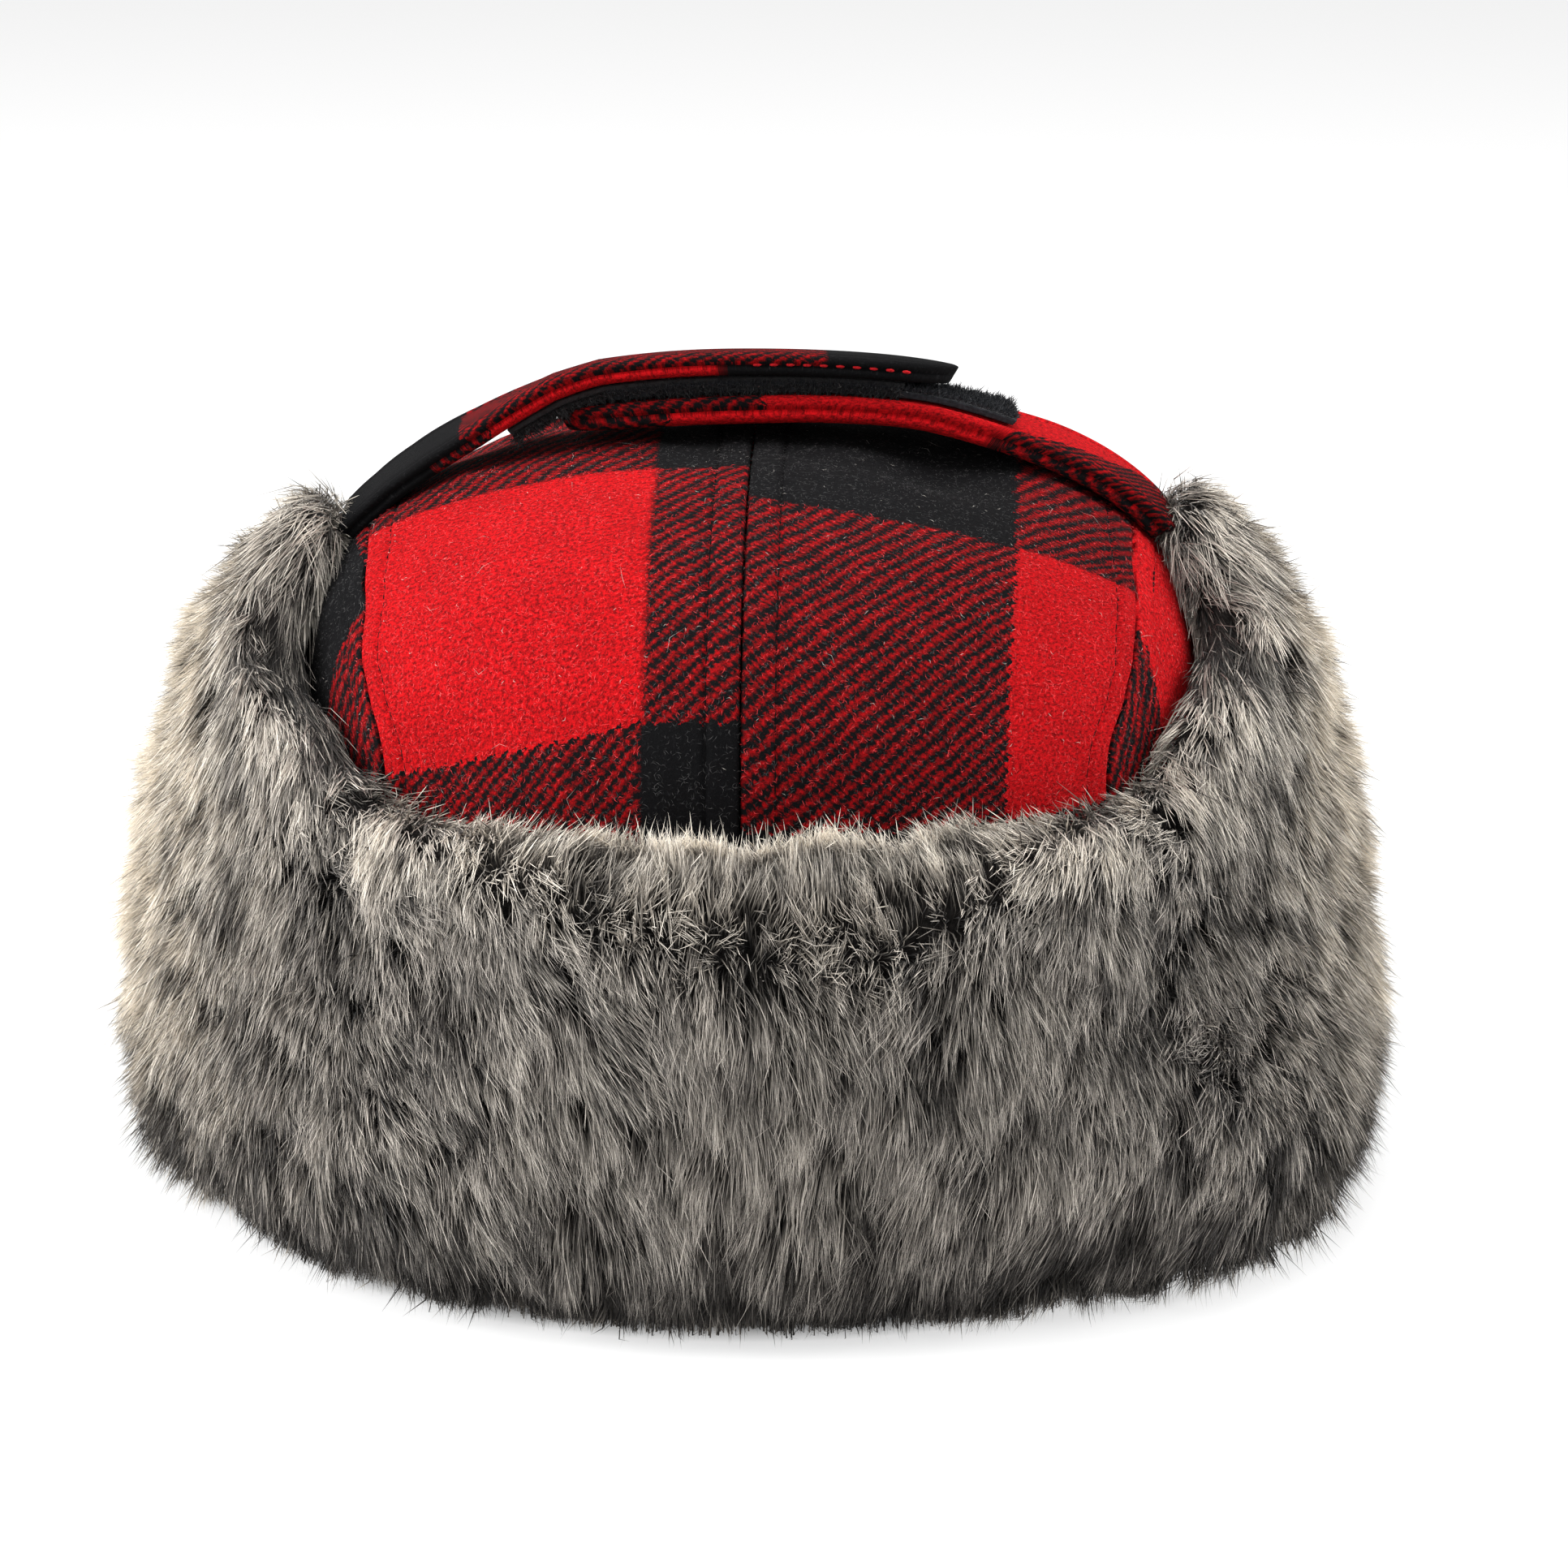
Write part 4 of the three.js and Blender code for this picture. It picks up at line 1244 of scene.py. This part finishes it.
def strand_marks(draw, lock_shade, here, zone, left):
    count = len(left)
    # Each strand's own tone, plus painted shade and light from the zones and, on the flanks, painted
    # light that is stronger on the left.
    shade = lock_shade + 0.2 * drift(here, 20, 16) + 0.16 * drift(here, 8, 17)
    shade = shade + draw.normal(0, 0.33, count) + weighed(zone, TONE_AND_PAINTED_LIGHT)
    shade = shade + mix(*FLANK_PAINTED_LIGHT, left) * zone["flank"]
    pale = 0.1 + draw.normal(0, 0.12, count) + weighed(zone, PALE_TIPS_AND_PAINTED_LIGHT)
    pale = pale + mix(*FLANK_PALE_AND_PAINTED_LIGHT, left) * zone["flank"]
    return np.stack([np.clip(shade, 0, 1), np.clip(pale, 0, 1)], axis=-1)


# %% Growing one flap's pile
def sunk(turn, walk, depth):
    """Points at a depth below the pile's outline, with the way out of the pile there."""
    here, _, _, outward = pile_frame(turn, walk)
    return here - outward * depth[:, None], outward


def grow(name, first, last, node, seed):
    draw = np.random.default_rng(seed)
    locks = lock_traits(draw, *spread_locks(first, last, STRANDS // STRANDS_PER_LOCK, seed))
    traits = {key: np.repeat(value, STRANDS_PER_LOCK) for key, value in locks.items()}
    turn, walk = traits["turn"], traits["walk"]
    count = len(turn)
    here, along, down, _ = pile_frame(turn, walk)
    per_turn = np.linalg.norm(along, axis=-1)
    per_walk = np.linalg.norm(down, axis=-1)
    scatter = draw.normal(0, LOCK_SPREAD, (count, 2))
    root_turn = turn + scatter[:, 0] / per_turn
    root_walk = walk + scatter[:, 1] / per_walk
    across, fall_run, fall, under = nap(turn, root_walk, here, traits["angle"], traits["part"])
    run = traits["run"] * draw.uniform(0.7, 1.15, count)
    run = run * (0.85 + 0.15 * np.abs(fall)) * (1 - 0.45 * under)
    wild = draw.uniform(size=count) < WILD_SHARE
    stray = draw.normal(0, 0.5, (count, 2))
    stray = stray + np.where(wild[:, None], draw.normal(0, 2.0, (count, 2)), 0)
    gather = draw.uniform(0.25, 0.75, (count, 1))
    moved = scatter * gather + stray + np.stack([across * run, fall_run * run], axis=-1)
    end_turn = turn + moved[:, 0] / per_turn
    end_walk = walk + moved[:, 1] / per_walk
    ledge = partings(turn)[1] - 0.01 + 0.8 * traits["part"] + draw.normal(0, 0.01, count)
    end_walk = np.where(root_walk < ledge, np.minimum(end_walk, ledge), end_walk)
    mid_turn = mix(root_turn, end_turn, BEND_PLACE)
    mid_walk = mix(root_walk, end_walk, BEND_PLACE)
    zone = zones(turn, walk, here, fall)
    lift = traits["lift"] + pile_lift(draw, here, zone, under, wild)
    root_depth = backing_depth(root_turn, root_walk) - 0.3
    mid_depth = 0.3 * backing_depth(mid_turn, mid_walk) - 0.6 * lift
    root, start_out = sunk(root_turn, root_walk, root_depth)
    mid = sunk(mid_turn, mid_walk, mid_depth)[0]
    tip = sunk(end_turn, end_walk, -lift)[0]
    lines = keep_off_crown(np.stack([root, mid, tip], axis=1), 0.9)
    lines[:, :, 2] = np.maximum(lines[:, :, 2], draw.uniform(0.3, 1.6, (count, 1)))
    facing = unit(start_out + draw.normal(0, 0.5, (count, 3)))
    marks = strand_marks(draw, traits["shade"], here, zone, on_left(turn))
    piece = ribbon_piece(name, lines, draw.uniform(0.16, 0.3, count), facing, marks)
    finish_piece(piece, fur_finish, "fur_pile", node)


grow("fur_front", -FLAP_SEAM, FLAP_SEAM, "front_band", 31)
grow("fur_right", FLAP_SEAM, 180 - FLAP_SEAM, "earflap_right", 32)
grow("fur_back", 180 - FLAP_SEAM, 180 + FLAP_SEAM, "back_band", 33)
grow("fur_left", 180 + FLAP_SEAM, 360 - FLAP_SEAM, "earflap_left", 34)

# %% [markdown]
# ## Fibres on the wool
# Brushed wool carries a haze of short curly fibres, and a few long pale hairs from the pile lie on
# it. They take their place from the crown's sheets, and the weave's stripes and twill lines, worked
# out again in arrays from the same numbers, tell each one whether it sits on red or on black.

# %% Fibre finish
def fibre_material():
    material, tree, shader = new_material("Wool fibres", 0.8)
    mark = tree.nodes.new("ShaderNodeAttribute")
    mark.attribute_name = "pale"
    tint = ramp(tree, mark.outputs["Fac"], [
        (0.0, (0.02, 0.02, 0.021, 1)),
        (0.45, (0.09, 0.085, 0.085, 1)),
        (0.55, (0.45, 0.005, 0.010, 1)),
        (0.9, (0.95, 0.075, 0.08, 1)),
        (1.0, (0.5, 0.47, 0.43, 1)),
    ])
    tree.links.new(tint, shader.inputs["Base Color"])
    return material


fibre_finish = fibre_material()


def on_red(weave):
    warp = np.mod(weave[:, 0] / (2 * CHECK_WIDTH), 1) < 0.5
    weft = np.mod(weave[:, 1] / (2 * CHECK_HEIGHT), 1) < 0.5
    eased = weave[:, 1] * (1 - weave[:, 1] / TWILL_EASE)
    slant = weave[:, 0] * TWILL_ACROSS - eased * TWILL_UP
    line = np.sin(slant * 2 * math.pi / TWILL_PERIOD) > 0
    return np.where(warp & weft, True, np.where(warp | weft, line, False))


def sheet_samples(name, count, draw):
    places, weave = crown_sheets[name]
    normals = sheet_normals(places)
    first = len(wall_climbs)
    last = len(places) - first if name.startswith("top") else len(places) - 1
    row = draw.uniform(first, last - 1, count * 3)
    column = draw.uniform(0, places.shape[1] - 1.001, count * 3)
    r, c = row.astype(int), column.astype(int)
    corner = places[r, c]
    area = np.cross(places[r + 1, c] - corner, places[r, c + 1] - corner)
    area = np.linalg.norm(area, axis=-1)
    keep = np.where(draw.uniform(size=len(area)) < area / np.quantile(area, 0.98))[0][:count]
    r, c = r[keep], c[keep]
    down, across = (row[keep] - r)[:, None], (column[keep] - c)[:, None]

    def between(table):
        upper = mix(table[r, c], table[r, c + 1], across)
        return mix(upper, mix(table[r + 1, c], table[r + 1, c + 1], across), down)

    return between(places), normals[r, c], between(weave)


# %% Fibres and hairs
SHEET_SHARES = {"top_left": 0.36, "top_right": 0.36, "side_left": 0.14, "side_right": 0.14}


def lay_fibres(name, count, length, height, width, pale, seed):
    draw = np.random.default_rng(seed)
    parts = []
    for sheet, share in SHEET_SHARES.items():
        parts.append(sheet_samples(sheet, int(count * share), draw))
    spot, normal, weave = (np.concatenate(group) for group in zip(*parts))
    total = len(spot)
    run = np.cross(normal, draw.normal(size=(total, 3)))
    run = unit(run) * draw.uniform(*length, (total, 1))
    bend = unit(np.cross(normal, run)) * draw.uniform(-0.35, 0.35, (total, 1))
    bend = bend * np.linalg.norm(run, axis=-1, keepdims=True)
    root = spot + normal * 0.05
    mid = spot + run * 0.5 + bend + normal * draw.uniform(*height, (total, 1))
    tip = spot + run + normal * draw.uniform(0.0, height[1], (total, 1))
    lines = np.stack([root, mid, tip], axis=1)
    widths = np.full(total, width)
    tint = np.where(on_red(weave), draw.uniform(0.55, 0.9, total), draw.uniform(0.0, 0.45, total))
    tint = np.where(draw.uniform(size=total) < pale, 1.0, tint)
    facing = unit(normal + 0.2 * draw.normal(size=(total, 3)))
    marks = np.stack([tint, tint], axis=-1)
    return finish_piece(ribbon_piece(name, lines, widths, facing, marks), fibre_finish, "crown_wool")


lay_fibres("wool_haze", 48000, (0.5, 1.5), (0.05, 0.3), 0.075, 0.012, 41)
lay_fibres("loose_hairs", 90, (2, 7), (0.1, 0.5), 0.05, 1.0, 42)

# %% [markdown]
# ## Camera, light and floor
# The camera stands a little over a metre away and looks down at fifteen and a half degrees, which
# fits the height of the crown against the depth of the front. The light is a white room: a bright
# sky and four soft lights, of which the left one is the strongest. The white floor glows outside the
# cap's footprint, so that it keeps only a soft shadow under the pile.

# %% Camera
AIM = Vector((0.0065, 0.0, 0.070))
DISTANCE = 1.15
ELEVATION = math.radians(15.5)
VIEW_ANGLE = math.radians(15.3)

camera_data = bpy.data.cameras.new("camera")
camera_data.sensor_width = 36
camera_data.lens = 18 / math.tan(VIEW_ANGLE / 2)
camera = bpy.data.objects.new("camera", camera_data)
camera.location = AIM + Vector((0, -math.cos(ELEVATION), math.sin(ELEVATION))) * DISTANCE
camera.rotation_euler = (math.pi / 2 - ELEVATION, 0, 0)
bpy.context.scene.collection.objects.link(camera)
bpy.context.scene.camera = camera
print("lens", round(camera_data.lens, 1), "mm")

# %% Lights
def soft_light(name, place, size, power):
    data = bpy.data.lights.new(name, "AREA")
    data.shape = "DISK"
    data.size = size
    data.energy = power
    light = bpy.data.objects.new(name, data)
    light.location = place
    light.rotation_euler = (AIM - Vector(place)).to_track_quat("-Z", "Y").to_euler()
    bpy.context.scene.collection.objects.link(light)


for name, place, size, power in [
    ("top", (0.0, 0.15, 1.3), 1.2, 16),
    ("left", (-1.2, 0.0, 0.6), 0.8, 28),
    ("right", (1.2, 0.0, 0.55), 0.8, 17),
    ("front", (-0.3, -1.3, 0.75), 0.8, 5),
]:
    soft_light(name, place, size, power)

# %% Sky
SKY_LIGHT = 0.4
SKY_SEEN = 1.05

world = bpy.data.worlds.new("white room")
bpy.context.scene.world = world
world.use_nodes = True
sky = world.node_tree.nodes["Background"]
seen = world.node_tree.nodes.new("ShaderNodeLightPath").outputs["Is Camera Ray"]
bright = calc(world.node_tree, "MULTIPLY_ADD", seen, SKY_SEEN - SKY_LIGHT, SKY_LIGHT)
world.node_tree.links.new(bright, sky.inputs["Strength"])
sky.inputs["Color"].default_value = (1, 1, 1, 1)
scene = bpy.context.scene
scene.view_settings.view_transform = "Standard"
scene.view_settings.look = "None"

# %% Floor
FOOTPRINT = (0.108, 0.118, 1)
GLOW_RISE = 7.0
GLOW_START = -6.7
SHADOW_GLOW = 0.05
FLOOR_GLOW = 0.62

bm = bmesh.new()
bmesh.ops.create_grid(bm, x_segments=1, y_segments=1, size=6)
floor = new_piece("floor", bm, False)
floor_finish, floor_tree, floor_shader = new_material("White floor", 0.9)
floor_shader.inputs["Base Color"].default_value = (0.35, 0.35, 0.35, 1)
floor_shader.inputs["Emission Color"].default_value = (1, 1, 1, 1)
floor_place = floor_tree.nodes.new("ShaderNodeTexCoord")
floor_share = floor_tree.nodes.new("ShaderNodeVectorMath")
floor_share.operation = "DIVIDE"
floor_share.inputs[1].default_value = FOOTPRINT
floor_tree.links.new(floor_place.outputs["Object"], floor_share.inputs[0])
floor_length = floor_tree.nodes.new("ShaderNodeVectorMath")
floor_length.operation = "LENGTH"
floor_tree.links.new(floor_share.outputs[0], floor_length.inputs[0])
glow = calc(floor_tree, "MULTIPLY_ADD", floor_length.outputs["Value"], GLOW_RISE, GLOW_START)
glow = calc(floor_tree, "MINIMUM", calc(floor_tree, "MAXIMUM", glow, SHADOW_GLOW), FLOOR_GLOW)
floor_tree.links.new(glow, floor_shader.inputs["Emission Strength"])
floor.data.materials.append(floor_finish)
